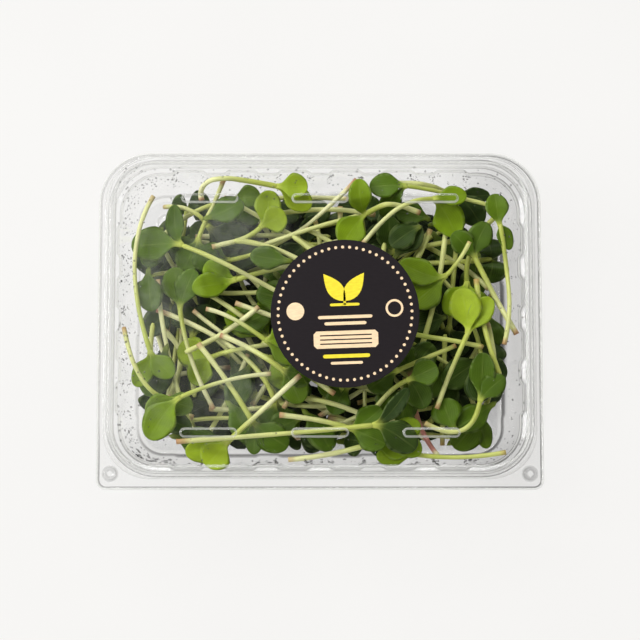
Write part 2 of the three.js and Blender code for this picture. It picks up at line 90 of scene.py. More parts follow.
BORDER_WIDTH = 1.9
BORDER_LEAN = 0.5
PANEL_Z = 45
RIB_LENGTH = 23
RIB_WIDTH = 3.8
RIB_HEIGHT = 1.6
RIB_PITCH = 44.7
RIB_BACK_Y = 48.4
RIB_FRONT_Y = -46.6
SNAP_X = 85.2
SNAP_Y = -62.8
CUP_RADIUS = 3.15
STUD_RADIUS = 2.15
STUD_HEIGHT = 1.5
LABEL_RADIUS = 30
LABEL_THICK = 0.25
LABEL_X = 10.1
LABEL_Y = 1.4

# Shoots, as in the part's source
STEM_RADIUS = 1.25
STEM_STEPS = 25
STEM_FEEL = STEM_RADIUS + 0.4
STEM_REACH = STEM_RADIUS + 0.2
STEM_WINDOW = 4
CROWN_OVERRUN = 1.4
LEAF_STEPS = 12
LEAF_HALF_THICK = 0.6
LEAF_FEEL = 0.7
LEAF_REACH = 0.9
LEAF_WINDOW = 2
LEAF_KNEE = 0.28
LEAF_LIFT = (0.02, 0.2)
LEAF_DROOP = (0.05, 0.22)
LEAF_CUP = (0.4, 1.8)
LEAF_ROLL = (-0.22, 0.22)
PETIOLE_HALF = 1.15
PETIOLE_SHARE = 0.22
BLADE_SHARE = 0.78
BLADE_WIDEST = 0.58
BLADE_TIP = 0.42
NECK_CURVE = 1.1
CLEARANCE = 0.9
BED_Z = 3
PILE_Z = 9
PILE_RISE = 25
BUNCH_COLUMNS = 4
BUNCH_ROWS = 2
BUNCH_SHOOTS = 3
BUNCH_PITCH_X = 39
BUNCH_PITCH_Y = 50
BUNCH_SHIFT_X = (-5, 5)
BUNCH_SHIFT_Y = (-4, 4)
BUNCH_TURN = (-0.3, 0.3)
BUNCH_HALF_STEM = (20, 28)
BUNCH_LEAF_AHEAD = 11
BUNCH_LEAF_ASIDE = (8, 12)
BUNCH_LEAF_WIDTH = (11.5, 14)
REACH_X = 71
REACH_Y = 49
WALL_MARGIN = 0.6
GRID_X = 96
GRID_Y = 76
COLUMNS = 2 * GRID_X + 1
ACROSS = (-1, -0.5, 0, 0.5, 1)
LEAF_TS = [k / LEAF_STEPS for k in range(LEAF_STEPS + 1)]

# Loose leaves and stems that fill the pile between the shoots
LOOSE_TOP = 30
LOOSE_LEVELS = (1.5, 26)
LOOSE_X = 3
LOOSE_HALF_X = 75
LOOSE_HALF_Y = 53.5
LOOSE_REACH_X = 79.5
LOOSE_REACH_Y = 55.5
LOOSE_LEAF_TRIES = 3200
LOOSE_LEAF_LENGTH = (15, 23)
LOOSE_LEAF_WIDTH = (10, 13.5)
LOOSE_LEAF_TWIST = (-0.6, 0.6)
LOOSE_STEM_TRIES = 1250
LOOSE_STEM_LENGTH = (30, 70)
LOOSE_STEM_BEND = (-7, 7)
LOOSE_STEM_WINDOW = 3
LOOSE_GAP = 0.3
LOOSE_TOUCH = 0.5
LOOSE_PIECE = 45

# Flat leaves on the tray's floor, below all shoots
BED_LEAVES_X = 16
BED_LEAVES_Y = 12
BED_HALF_X = 71
BED_HALF_Y = 52
BED_LEAF_Z = (1.0, 1.6)
BED_LEAF_LENGTH = (17, 22)
BED_LEAF_WIDTH = (12.5, 15)
BED_LEAF_SHIFT = (-3, 3)
BED_LEAF_BEHIND = -1.2
BED_LEAF_AHEAD = 0.8

# Fineness of the drawn pieces
STEM_SIDES = 9
LEAF_ROWS = 20
LEAF_COLUMNS = 8
LOOSE_ROWS = 11
LOOSE_COLUMNS = 6
BED_ROWS = 8
BED_COLUMNS = 4
CORNER_ARC = 10


def srgb(red, green, blue):
    """A screen colour, 0 to 255, as the linear colour that shaders take."""
    def linear(value):
        value /= 255
        return value / 12.92 if value <= 0.04045 else ((value + 0.055) / 1.055) ** 2.4
    return (linear(red), linear(green), linear(blue), 1.0)


LEAF_TONES = (srgb(36, 56, 14), srgb(74, 102, 8), srgb(118, 146, 14), srgb(150, 172, 36))
# Floor leaves: a dark leaf green, darker than any shoot's leaf, partly painted shade under the pile
BED_LEAF_AND_SHADE_TONE = srgb(28, 43, 15)
STEM_PALE = srgb(232, 231, 178)
STEM_GREEN = srgb(192, 200, 92)
STEM_PINK = srgb(208, 136, 124)
CUT_BROWN = srgb(172, 112, 78)
CREAM = srgb(245, 215, 175)
YELLOW = srgb(240, 220, 60)
NEAR_BLACK = srgb(30, 25, 28)
BACKING = srgb(232, 230, 224)
LEAF_UNDERSIDE = srgb(150, 168, 104)
LEAF_VEIN = srgb(176, 190, 108)
FLOOR_SHADES = (srgb(242, 241, 239), srgb(244, 243, 241))
# White of the breath haze, also used for the painted highlight along formed edges
HAZE_AND_HIGHLIGHT = srgb(248, 249, 245)


# Pile of shoots: the same rule as in the part's source, so each drawn shoot lies where its solid does

SHOOTS = (
    ((-30, -20), (-46, -4), (-60, 6), (-75, 15, 12), (-74, -4, 12), 0),
    ((50, 20), (62, 4), (67, -14), (78, -22, 11), (74, -33, 11), 0),
    ((10, -34), (-8, -34), (-25, -30), (-42, -40, 11), (-36, -17, 10), 0),
    ((12, 37), (3, 35), (-4, 34.5), (-17, 24, 13), (-2, 47, 9), 0),
    ((26, 58), (42, 58), (56, 55), (72, 55, 7), (68, 42, 12), 0),
    ((36, -12), (24, -20), (13, -26), (5, -38, 11), (-1, -25, 11), 1),
    ((6, -30), (-10, -18), (-21, -7), (-40, 5, 13), (-24, 12, 7), 2),
    ((-70, 34), (-56, 46), (-38, 53), (-27, 43, 11.5), (-25, 54, 10), 1),
    ((-63, -31), (-59, -19), (-54, -6), (-46, 8, 12), (-61, 9, 12), 0),
    ((72, 49), (56, 53), (37, 56.5), (20.5, 56, 11), (26, 46, 9), 1),
    ((70, 0), (72, -20), (68, -36), (56, -52, 14), (70, -52, 8), 1),
    ((-66, 50), (-55, 48), (-48, 42.5), (-29, 36, 13), (-36, 27, 12), 0),
    ((15, 59), (-13, 37), (-37, 27), (-51, 31, 12), (-47, 17, 12), 1),
    ((-40, 59), (-46, 47), (-50.5, 36.5), (-58, 22, 12), (-43, 21, 12), 1),
    ((56, 35), (45, 33), (33, 31), (29, 45, 12), (17, 25, 12), 0),
    ((-6, 40), (4, 35), (14, 28), (27, 18, 13), (12, 12, 13), 2),
    ((54, -17.5), (47, -13), (38.5, -8.5), (25, -20, 12), (23, -3, 12), 1),
    ((48.5, -55), (41, -41), (38, -24), (30, -9, 12), (47, -9, 12), 1),
    ((78, 48), (65, 34.5), (61.5, 18.5), (52, 4, 12), (68, 2, 12), 2),
    ((-53, 5.5), (-37, -6.5), (-22, -14), (-7, -11, 12), (-13, -28, 12), 2),
    ((-68, 5.5), (-35, -11.5), (-19, -32), (-25, -48, 11), (-10, -46, 11), 1),
    ((-14, -8), (-33, -11.5), (-44.5, -14), (-59, -9.5, 13.5), (-52, -26, 11), 3),
    ((-44, -36), (-53, -16), (-58, 4.5), (-61, 23.5, 13), (-52, 22, 11), 1),
    ((10, 26), (-12, 24), (-34, 18.5), (-53, 13.5, 11), (-48, 24, 12), 2),
    ((-12, 10), (-36, 22), (-56.5, 31.5), (-79, 32, 15), (-61, 50, 8), 1),
    ((-45, 31.5), (-33, 35), (-25.5, 39.5), (-14, 45, 12), (-21, 56, 11.5), 3),
    ((-49.5, 51.5), (-44, 58.5), (-19, 57), (-5, 56.5, 11), (-4, 48, 11), 3),
    ((41.5, 45.5), (30, 48), (20, 46), (9.5, 32.5, 13.5), (16, 59, 10), 2),
    ((17, 31.5), (31, 45), (46, 50.5), (57, 36, 14), (61, 53, 9), 2),
    ((81, -5.5), (73, 10), (65, 26), (70, 42, 11), (55, 37, 10), 1),
    ((75.5, -10), (78, 12), (75, 39), (73, 54, 10), (79, 30, 7), 1),
    ((62, 33), (58, 26), (53, 20), (38, 7, 14), (33, 25, 11.5), 2),
    ((56, -10), (44.5, -15), (33, -20), (20, -28, 12), (18, -15, 12), 1),
    ((67, -10.5), (53, -8), (39, -5.5), (24, 3, 13), (25, -14, 13), 2),
    ((48, -36), (54.5, -19), (60, -6.5), (58, 14, 14), (71, 10, 10), 3),
    ((19.5, -40), (28, -30), (35, -25), (48, -19, 12), (43, -36, 12), 1),
    ((43, -42), (58, -45), (65.5, -34), (67, -13, 11), (76, -23, 10), 1),
    ((76, -54), (57.5, -56), (40, -55), (25, -50, 10), (23, -56, 9), 2),
    ((-13, -57), (7.5, -54), (27, -48.5), (41, -42, 10), (41, -55, 10), 2),
    ((-47, 5), (-36, 1), (-23, -7.5), (-10, -2, 12), (-8, -16, 12), 2),
    ((-41, -6), (-29, -11.5), (-16, -20), (-3, -22, 12), (-8, -34, 12), 1),
    ((-69, 52), (-76.5, 24), (-70, -12), (-76, -27, 9), (-60, -23, 10), 2),
    ((-80.5, -3), (-74, -22), (-65, -31.5), (-71, -40, 9), (-52, -36, 10), 1),
    ((-50, -9.5), (-38.5, -24.5), (-28.5, -40), (-27, -55, 8), (-13, -52, 13), 1),
    ((-8, -23), (-24, -37.5), (-36.5, -49), (-46, -60, 13.5), (-55, -54, 11), 3),
    ((-20, -22), (-38, -25), (-56, -31.5), (-69.5, -49, 14), (-71, -38.5, 11), 2),
    ((-16.5, -39), (-1, -41), (11, -44), (27, -51, 12), (25, -36, 11), 1),
    ((-58, -50), (-19, -47), (20.5, -43.5), (36, -28, 7), (39, -53, 13), 0),
)
PINK_SHOOT = 17

seed = 4127


def draw(low, high):
    global seed
    seed = seed * 16807 % 2147483647
    return low + (high - low) * (seed - 1) / 2147483646


def clamp(value, limit):
    return max(-limit, min(limit, value))


def spread_row(x, y, turn, half, tone):
    """A straight shoot through one point, with its leaves spread at the crown."""
    def along(reach, side):
        return (
            clamp(x + reach * math.cos(turn) - side * math.sin(turn), REACH_X),
            WALL_Y + clamp(y + reach * math.sin(turn) + side * math.cos(turn), REACH_Y),
        )

    ahead = half + BUNCH_LEAF_AHEAD
    leaves = [
        (*along(ahead, side * draw(*BUNCH_LEAF_ASIDE)), draw(*BUNCH_LEAF_WIDTH)) for side in (1, -1)
    ]
    return along(-half, 0), (x, WALL_Y + y), along(half, 0), *leaves, tone


def plan_bunches():
    bunches = []
    for k in range(BUNCH_COLUMNS * BUNCH_ROWS):
        x = (k % BUNCH_COLUMNS - (BUNCH_COLUMNS - 1) / 2) * BUNCH_PITCH_X + draw(*BUNCH_SHIFT_X)
        y = (k // BUNCH_COLUMNS - (BUNCH_ROWS - 1) / 2) * BUNCH_PITCH_Y + draw(*BUNCH_SHIFT_Y)
        first = draw(0, math.pi)
        bunch = []
        for n in range(BUNCH_SHOOTS):
            turn = first + n * 2 * math.pi / BUNCH_SHOOTS + draw(*BUNCH_TURN)
            bunch.append(spread_row(x, y, turn, draw(*BUNCH_HALF_STEM), 0))
        bunches.append(bunch)
    return bunches


def tray_top(x, y):
    qx = abs(x) - (FOOT_HALF_X - FOOT_CORNER)
    qy = abs(y - WALL_Y) - (FOOT_HALF_Y - FOOT_CORNER)
    beyond = math.sqrt(max(qx, 0) ** 2 + max(qy, 0) ** 2) + min(max(qx, qy), 0)
    out = beyond - FOOT_CORNER + SHEET + WALL_MARGIN
    if out <= 0:
        return SHEET
    if out <= DRAFT:
        return FOOT_ROUND + SHEET + out / DRAFT * (LEDGE_Z - FOOT_ROUND)
    return LEDGE_Z + SHEET if out <= DRAFT + LEDGE_WIDTH else TRAY_HEIGHT + 1


heights = [
    tray_top(column, row)
    for row in range(-GRID_Y, GRID_Y + 1)
    for column in range(-GRID_X, GRID_X + 1)
]
bare = list(heights)
layers = [[] for _ in heights]


def cells(x, y, radius):
    reach = math.ceil(radius)
    near_x = math.floor(x + 0.5)
    near_y = math.floor(y + 0.5)
    for row in range(near_y - reach, near_y + reach + 1):
        for column in range(near_x - reach, near_x + reach + 1):
            if (column - x) ** 2 + (row - y) ** 2 <= (radius + 0.5) ** 2:
                yield (row + GRID_Y) * COLUMNS + column + GRID_X


def highest(x, y, radius):
    return max(heights[cell] for cell in cells(x, y, radius))


def tops_below(level):
    """Like highest, but sees only what lies below a level."""
    def top(x, y, radius):
        near = list(cells(x, y, radius))
        tops = [high for cell in near for low, high in layers[cell] if low + high < 2 * level]
        return max(tops + [bare[cell] for cell in near])
    return top


def drape(needs, window):
    """Smooth line that is nowhere below the given needs."""
    def near(values, i):
        return values[max(0, i - window) : i + window + 1]
    crests = [max(near(needs, i)) for i in range(len(needs))]
    return [sum(near(crests, i)) / len(near(crests, i)) for i in range(len(crests))]


def bend(a, b, c, t):
    s = 1 - t
    return tuple(s * s * a[k] + 2 * s * t * b[k] + t * t * c[k] for k in (0, 1))


def half_width(t, width):
    """Spoon outline of a cotyledon."""
    u = (t - PETIOLE_SHARE) / BLADE_SHARE
    if u <= 0:
        return PETIOLE_HALF
    if u >= BLADE_WIDEST:
        return width / 2 * math.sqrt(max(0, 1 - ((u - BLADE_WIDEST) / BLADE_TIP) ** 2))
    ease = (u / BLADE_WIDEST) ** NECK_CURVE
    return PETIOLE_HALF + (width / 2 - PETIOLE_HALF) * ease * ease * (3 - 2 * ease)


class Leaf:
    """One cotyledon: its line in plan, and how it rises, cups and rolls."""

    def __init__(self, crown, heading, leaf):
        self.crown = crown
        self.tip = leaf[:2]
        self.width = leaf[2]
        length = math.dist(crown, self.tip)
        self.knee = tuple(crown[k] + heading[k] * length * LEAF_KNEE for k in (0, 1))
        self.lift = draw(*LEAF_LIFT) * length
        self.droop = draw(*LEAF_DROOP) * length
        self.cup = draw(*LEAF_CUP)
        self.roll = draw(*LEAF_ROLL)
        self.line = []

    def plan(self, t):
        return bend(self.crown, self.knee, self.tip, t)

    def left(self, t):
        step = 1 / LEAF_STEPS
        a = self.plan(max(0, t - step))
        b = self.plan(min(1, t + step))
        size = math.dist(a, b)
        return (-(b[1] - a[1]) / size, (b[0] - a[0]) / size)

    def rise(self, t):
        return self.lift * t * 2 - self.droop * t * t

    def tilt(self, t, v):
        half = half_width(t, self.width)
        return self.cup * v * v * half * 2 / self.width + self.roll * v * half

    def across(self, t, v):
        x, y = self.plan(t)
        left = self.left(t)
        half = half_width(t, self.width)
        return x + left[0] * v * half, y + left[1] * v * half

    def need(self, t, level, top=highest, gap=CLEARANCE):
        """Lowest height at which the leaf clears what lies beneath it."""
        under = max(top(*self.across(t, v), LEAF_FEEL) - self.tilt(t, v) for v in ACROSS)
        return max(level, under + LEAF_HALF_THICK + gap) - self.rise(t)

    def spots(self):
        """Points over the leaf: place in plan, height, half thickness and reach."""
        for k, t in enumerate(LEAF_TS):
            for v in ACROSS:
                yield *self.across(t, v), self.line[k] + self.tilt(t, v), LEAF_HALF_THICK, LEAF_REACH

    def height(self, t):
        k = min(LEAF_STEPS - 1, int(t * LEAF_STEPS))
        share = t * LEAF_STEPS - k
        share = share * share * (3 - 2 * share) * 0.5 + share * 0.5
        return self.line[k] * (1 - share) + self.line[k + 1] * share


class Shoot:
    """One shoot laid on the pile: stem points and two leaves."""

    def __init__(self, row, level):
        cut, middle, crown, leaf_a, leaf_b, self.tone = row
        knee = tuple(2 * middle[k] - (cut[k] + crown[k]) / 2 for k in (0, 1))
        self.plan = [bend(cut, knee, crown, k / STEM_STEPS) for k in range(STEM_STEPS + 1)]
        size = math.dist(knee, crown)
        heading = tuple((crown[k] - knee[k]) / size for k in (0, 1))
        self.leaves = [Leaf(crown, heading, leaf) for leaf in (leaf_a, leaf_b)]
        stem_needs = [
            max(level, highest(x, y, STEM_FEEL) + STEM_RADIUS + CLEARANCE) for x, y in self.plan
        ]
        leaf_needs = [[leaf.need(t, level) for t in LEAF_TS] for leaf in self.leaves]
        both = [max(pair) for pair in zip(*leaf_needs)]
        self.line = drape(stem_needs + both[1:], STEM_WINDOW)[: STEM_STEPS + 1]
        self.leaf_lines = [drape(needs, LEAF_WINDOW) for needs in leaf_needs]
        self.top = max(self.line[-1], self.leaf_lines[0][0], self.leaf_lines[1][0])

    def set_heights(self):
        gain = self.top - self.line[-1]
        self.stem = [
            Vector((x, y, self.line[k] + gain * (k / STEM_STEPS) ** 4)) for k, (x, y) in enumerate(self.plan)
        ]
        for leaf, line in zip(self.leaves, self.leaf_lines):
            leaf.line = [
                line[k] + leaf.rise(t) + (self.top - line[0]) * (1 - t) ** 2 for k, t in enumerate(LEAF_TS)
            ]

    def spots(self):
        for point in self.stem:
            yield point.x, point.y, point.z, STEM_RADIUS, STEM_REACH
        for leaf in self.leaves:
            yield from leaf.spots()


class BedLeaf(Leaf):
    """A wilted leaf pressed flat on the tray's floor."""

    def __init__(self, crown, tip, width, z):
        turn = math.atan2(tip[1] - crown[1], tip[0] - crown[0])
        super().__init__(crown, (math.cos(turn), math.sin(turn)), (*tip, width))
        self.lift = self.droop = self.cup = self.roll = 0
        self.line = [z] * len(LEAF_TS)


class LooseLeaf(Leaf):
    """A leaf without its stem, laid at a level of the pile."""

    def __init__(self, x, y, turn, row, level):
        super().__init__((x, y), (math.cos(turn), math.sin(turn)), row)
        top = tops_below(level)
        line = drape([self.need(t, level, top, LOOSE_GAP) for t in LEAF_TS], LEAF_WINDOW)
        self.line = [z + self.rise(t) for z, t in zip(line, LEAF_TS)]


class LooseStem:
    """A stem without leaves, laid at a level of the pile."""

    def __init__(self, cut, knee, end, level):
        top = tops_below(level)
        plan = [bend(cut, knee, end, k / STEM_STEPS) for k in range(STEM_STEPS + 1)]
        needs = [max(level, top(x, y, STEM_RADIUS) + STEM_RADIUS + LOOSE_GAP) for x, y in plan]
        self.stem = [Vector((x, y, z)) for (x, y), z in zip(plan, drape(needs, LOOSE_STEM_WINDOW))]

    def spots(self):
        for point in self.stem:
            yield point.x, point.y, point.z, STEM_RADIUS, STEM_RADIUS


def mark(piece):
    """Adds a piece to the pile."""
    taken = {}
    for x, y, z, thick, reach in piece.spots():
        for cell in cells(x, y, reach):
            low, high = taken.get(cell, (z, z))
            taken[cell] = (min(low, z - thick), max(high, z + thick))
    for cell, (low, high) in taken.items():
        heights[cell] = max(heights[cell], high)
        layers[cell].append((low, high))


def fits(piece, level):
    """Whether a loose piece stays below what lies above its level."""
    for x, y, z, thick, reach in piece.spots():
        if z + thick > LOOSE_TOP:
            return False
        for cell in cells(x, y, reach):
            for low, high in layers[cell]:
                if low + high >= 2 * level and z + thick > low + LOOSE_TOUCH:
                    return False
    return True


def settle_bunch(bunch):
    laid = [Shoot(row, BED_Z) for row in bunch]
    level = max(value for shoot in laid for value in (*shoot.line, shoot.top))
    for shoot in laid:
        shoot.line = [level] * len(shoot.line)
        shoot.top = level
        shoot.set_heights()
    for shoot in laid:
        mark(shoot)
    return laid


def settle_shoot(row, level):
    shoot = Shoot(row, level)
    shoot.set_heights()
    mark(shoot)
    return shoot


def ahead(point, turn, reach):
    return point[0] + reach * math.cos(turn), point[1] + reach * math.sin(turn)


def in_reach(*points):
    """Whether places are within the pile, which leaves the tray's corners open."""
    return all((x / LOOSE_REACH_X) ** 4 + ((y - WALL_Y) / LOOSE_REACH_Y) ** 4 < 1 for x, y in points)


def on_floor(leaf):
    """Whether a whole leaf lies on the flat of the tray's floor."""
    return all(tray_top(*leaf.across(t, v)) == SHEET for t in LEAF_TS for v in (-1, 1))


def lay_bed_leaves():
    """Rows of flat leaves that cover the floor under the pile."""
    laid = []
    for k in range(BED_LEAVES_X * BED_LEAVES_Y):
        share_x = 2 * (k % BED_LEAVES_X + 0.5) / BED_LEAVES_X - 1
        share_y = 2 * (k // BED_LEAVES_X + 0.5) / BED_LEAVES_Y - 1
        x = LOOSE_X + BED_HALF_X * share_x + draw(*BED_LEAF_SHIFT)
        y = WALL_Y + BED_HALF_Y * share_y + draw(*BED_LEAF_SHIFT)
        turn = draw(0, 2 * math.pi)
        reach = draw(*BED_LEAF_LENGTH) / 2
        width = draw(*BED_LEAF_WIDTH)
        z = draw(*BED_LEAF_Z)
        crown = ahead((x, y), turn, BED_LEAF_BEHIND * reach)
        tip = ahead((x, y), turn, BED_LEAF_AHEAD * reach)
        leaf = BedLeaf(crown, tip, width, z)
        if in_reach(crown, tip) and on_floor(leaf):
            laid.append(leaf)
    return laid


def loose_leaf(start, turn, level):
    tip = ahead(start, turn, draw(*LOOSE_LEAF_LENGTH))
    if in_reach(start, tip):
        return LooseLeaf(*start, turn + draw(*LOOSE_LEAF_TWIST), (*tip, draw(*LOOSE_LEAF_WIDTH)), level)
    return None


def loose_stem(start, turn, level):
    end = ahead(start, turn, draw(*LOOSE_STEM_LENGTH))
    side = draw(*LOOSE_STEM_BEND)
    middle = ((start[0] + end[0]) / 2, (start[1] + end[1]) / 2)
    knee = (middle[0] - side * math.sin(turn), middle[1] + side * math.cos(turn))
    return LooseStem(start, knee, end, level) if in_reach(start, end, knee) else None


def lay_loose(tries, loose_piece):
    """Loose pieces wherever there is room between the shoots."""
    laid = []
    for _ in range(tries):
        x = draw(-LOOSE_HALF_X, LOOSE_HALF_X) + LOOSE_X
        y = draw(-LOOSE_HALF_Y, LOOSE_HALF_Y) + WALL_Y
        turn = draw(0, 2 * math.pi)
        level = draw(*LOOSE_LEVELS)
        piece = loose_piece((x, y), turn, level)
        if piece and fits(piece, level):
            mark(piece)
            laid.append(piece)
    return laid


# Materials


def put(tree, socket, value):
    """Gives a socket a fixed value or another node's output."""
    if isinstance(value, bpy.types.NodeSocket):
        tree.links.new(value, socket)
    else:
        socket.default_value = value


def add_node(tree, kind, *inputs, **named):
    """A shader node with its own settings, and its sockets filled by name or in order."""
    node = tree.nodes.new("ShaderNode" + kind)
    for name, value in named.items():
        if hasattr(node, name):
            setattr(node, name, value)
        else:
            put(tree, node.inputs[name.replace("_", " ")], value)
    for socket, value in zip(node.inputs, inputs):
        put(tree, socket, value)
    return node


def new_material(name):
    material = bpy.data.materials.new(name)
    material.use_nodes = True
    material.node_tree.nodes.clear()
    return material, material.node_tree


def show(tree, shader):
    add_node(tree, "OutputMaterial", shader.outputs[0])


def show_skin(tree, colour, relief, strength, depth, **looks):
    """Shows a solid skin with a fine relief."""
    normal = add_node(tree, "Bump", Height=relief, Strength=strength, Distance=depth).outputs["Normal"]
    show(tree, add_node(tree, "BsdfPrincipled", Base_Color=colour, Normal=normal, **looks))


def math_node(tree, operation, *values):
    return add_node(tree, "Math", *values, operation=operation).outputs[0]


def object_point(tree, scale=(1, 1, 1), place=(0, 0, 0)):
    point = add_node(tree, "TexCoord").outputs["Object"]
    return add_node(tree, "Mapping", point, Location=place, Scale=scale).outputs["Vector"]


def noise(tree, point, scale, detail, roughness=0.5):
    node = add_node(tree, "TexNoise", point, Scale=scale, Detail=detail, Roughness=roughness)
    return node.outputs["Fac"]


def grey(value):
    return (value, value, value, 1.0)


def ramp(tree, value, *stops):
    """Colour that follows a value through stops, each a place and a colour or a grey."""
    node = add_node(tree, "ValToRGB", value)
    points = node.color_ramp.elements
    while len(points) < len(stops):
        points.new(0.5)
    for point, (place, tone) in zip(points, stops):
        point.position = place
        point.color = tone if isinstance(tone, tuple) else grey(tone)
    return node.outputs["Color"]


def soft_step(tree, value, start_end, low_high):
    """Smooth change from low to high while a value goes from start to end."""
    node = add_node(tree, "MapRange", value, *start_end, *low_high, interpolation_type="SMOOTHSTEP")
    return node.outputs["Result"]


def mix_colour(tree, factor, a, b, blend="MIX"):
    node = add_node(tree, "Mix", data_type="RGBA", blend_type=blend, Factor=factor)
    put(tree, node.inputs[6], a)
    put(tree, node.inputs[7], b)
    return node.outputs[2]


def multiply(tree, a, b):
    return mix_colour(tree, 1.0, a, b, "MULTIPLY")


def mix_shader(tree, share, first, second):
    return add_node(tree, "MixShader", share, first.outputs[0], second.outputs[0])


def soft_patch(tree, centre, half):
    """1 in the middle of an ellipse on the plan, falling to 0 at its edge."""
    scale = (1 / half[0], 1 / half[1], 0)
    point = object_point(tree, scale, (-centre[0] / half[0], -centre[1] / half[1], 0))
    return add_node(tree, "TexGradient", point, gradient_type="SPHERICAL").outputs["Fac"]


def facing_away(tree):
    return add_node(tree, "LayerWeight", Blend=0.5).outputs["Facing"]


def clear_gloss(tree, facing, tint, power, gain, base, **looks):
    """See-through surface with a gloss that grows at grazing angles."""
    see = add_node(tree, "BsdfTransparent", Color=tint)
    gloss = add_node(tree, "BsdfGlossy", Color=grey(1.0), **looks)
    share = math_node(tree, "MULTIPLY_ADD", math_node(tree, "POWER", facing, power), gain, base)
    return mix_shader(tree, share, see, gloss)


CLEAR_TINT = ((0.0, 0.998), (0.5, 0.99), (0.9, 0.975), (1.0, 0.5))
# Painted shade: dark lines beside formed edges. Painted highlight: the haze white mixed in along formed edges
EDGE_SHADE = ((0.0, 1.0), (0.2, 0.87), (0.42, 0.87), (0.65, 1.0))
EDGE_PAINTED_HIGHLIGHT = 0.45
LID_FOG = 0.26
LID_FOG_PATCHES = (
    ((-0.035, 0.034), (0.03, 0.022)), ((-0.037, -0.028), (0.03, 0.028)), ((-0.066, 0.0), (0.02, 0.06)),
)
TRAY_FOG = 0.15
TRAY_FOG_PATCHES = (((-0.092, 0.0), (0.035, 0.13)), ((-0.02, 0.068), (0.12, 0.03)))
# Painted shade on the tray's lower walls towards the right and the front, darker along formed edges there, and a
# painted shadow on the tray's foot under the pile
PAINTED_SHADE_SIDES = (("X", 0.045, 0.078, 0.88, 0.95), ("Y", -0.04, -0.058, 0.9, 1.0))
PAINTED_SHADE_HEIGHTS = (0.024, 0.03)
PAINTED_SHADE_EDGE = 2.5
PILE_SHADOW = ((0.012, 0.001), (0.088, 0.063))
PILE_SHADOW_RISE = 3.0
PILE_SHADOW_HEIGHTS = (0.002, 0.006)
PILE_SHADE = 0.4


def darken(tree, tint, depth, share):
    lost = math_node(tree, "MULTIPLY", depth, share)
    return multiply(tree, tint, math_node(tree, "SUBTRACT", 1.0, lost))


def add_painted_shade(tree, tint, shade):
    """Painted shade: darkens the tray's lower walls towards the right and the front, more so along formed edges
    there, and paints a shadow on its foot under the pile.
    """
    split = add_node(tree, "SeparateXYZ", object_point(tree)).outputs
    pile = math_node(tree, "MULTIPLY", soft_patch(tree, *PILE_SHADOW), PILE_SHADOW_RISE)
    foot = soft_step(tree, split["Z"], PILE_SHADOW_HEIGHTS, (PILE_SHADE, 0.0))
    tint = darken(tree, tint, math_node(tree, "MINIMUM", pile, 1.0), foot)
    for axis, start, end, low, high in PAINTED_SHADE_SIDES:
        depth = soft_step(tree, split["Z"], PAINTED_SHADE_HEIGHTS, (1 - low, 1 - high))
        formed = math_node(tree, "SUBTRACT", 1.0, shade)
        depth = math_node(tree, "MULTIPLY_ADD", formed, PAINTED_SHADE_EDGE, depth)
        tint = darken(tree, tint, depth, soft_step(tree, split[axis], (start, end), (0.0, 1.0)))
    return tint


def clear_sheet(name, fog_patches, fog_amount, with_painted_shade):
    """Clear formed sheet: glossier at grazing angles, with a painted highlight along formed edges and painted shade
    beside them, and with breath haze.
    """
    material, tree = new_material(name)
    facing = facing_away(tree)
    edge = add_node(tree, "Attribute", attribute_name="formed_edge").outputs["Fac"]
    shade = ramp(tree, edge, *EDGE_SHADE)
    tint = multiply(tree, ramp(tree, facing, *CLEAR_TINT), shade)
    # The tray also gets painted shade on its lower walls and a painted shadow under the pile
    if with_painted_shade:
        tint = add_painted_shade(tree, tint, shade)
    ripple = noise(tree, object_point(tree), 45.0, 2.0)
    normal = add_node(tree, "Bump", Height=ripple, Strength=0.1, Distance=0.0005).outputs["Normal"]
    sheet = clear_gloss(tree, facing, tint, 5.0, 0.3, 0.016, Roughness=0.05, Normal=normal)
    lit, lit_through = (add_node(tree, kind, Color=HAZE_AND_HIGHLIGHT) for kind in ("BsdfDiffuse", "BsdfTranslucent"))
    haze = mix_shader(tree, 0.5, lit, lit_through)
    mottle = math_node(tree, "SUBTRACT", noise(tree, object_point(tree), 130.0, 5.0, 0.65), 0.3)
    patch = 0.0
    for centre, half in fog_patches:
        patch = math_node(tree, "MAXIMUM", patch, soft_patch(tree, centre, half))
    wet = math_node(tree, "MULTIPLY", math_node(tree, "MULTIPLY", mottle, fog_amount), patch)
    # Painted highlight: haze white mixed in along formed edges
    painted_highlight = math_node(tree, "MULTIPLY", math_node(tree, "POWER", edge, 2.0), EDGE_PAINTED_HIGHLIGHT)
    show(tree, mix_shader(tree, math_node(tree, "MAXIMUM", wet, painted_highlight), sheet, haze))
    return material


def own_colour(tree):
    """A shoot's own colour, and the place along and across its blade."""
    colour = add_node(tree, "Attribute", attribute_name="leaf_colour").outputs["Color"]
    return colour, add_node(tree, "UVMap", uv_map="blade").outputs["UV"]


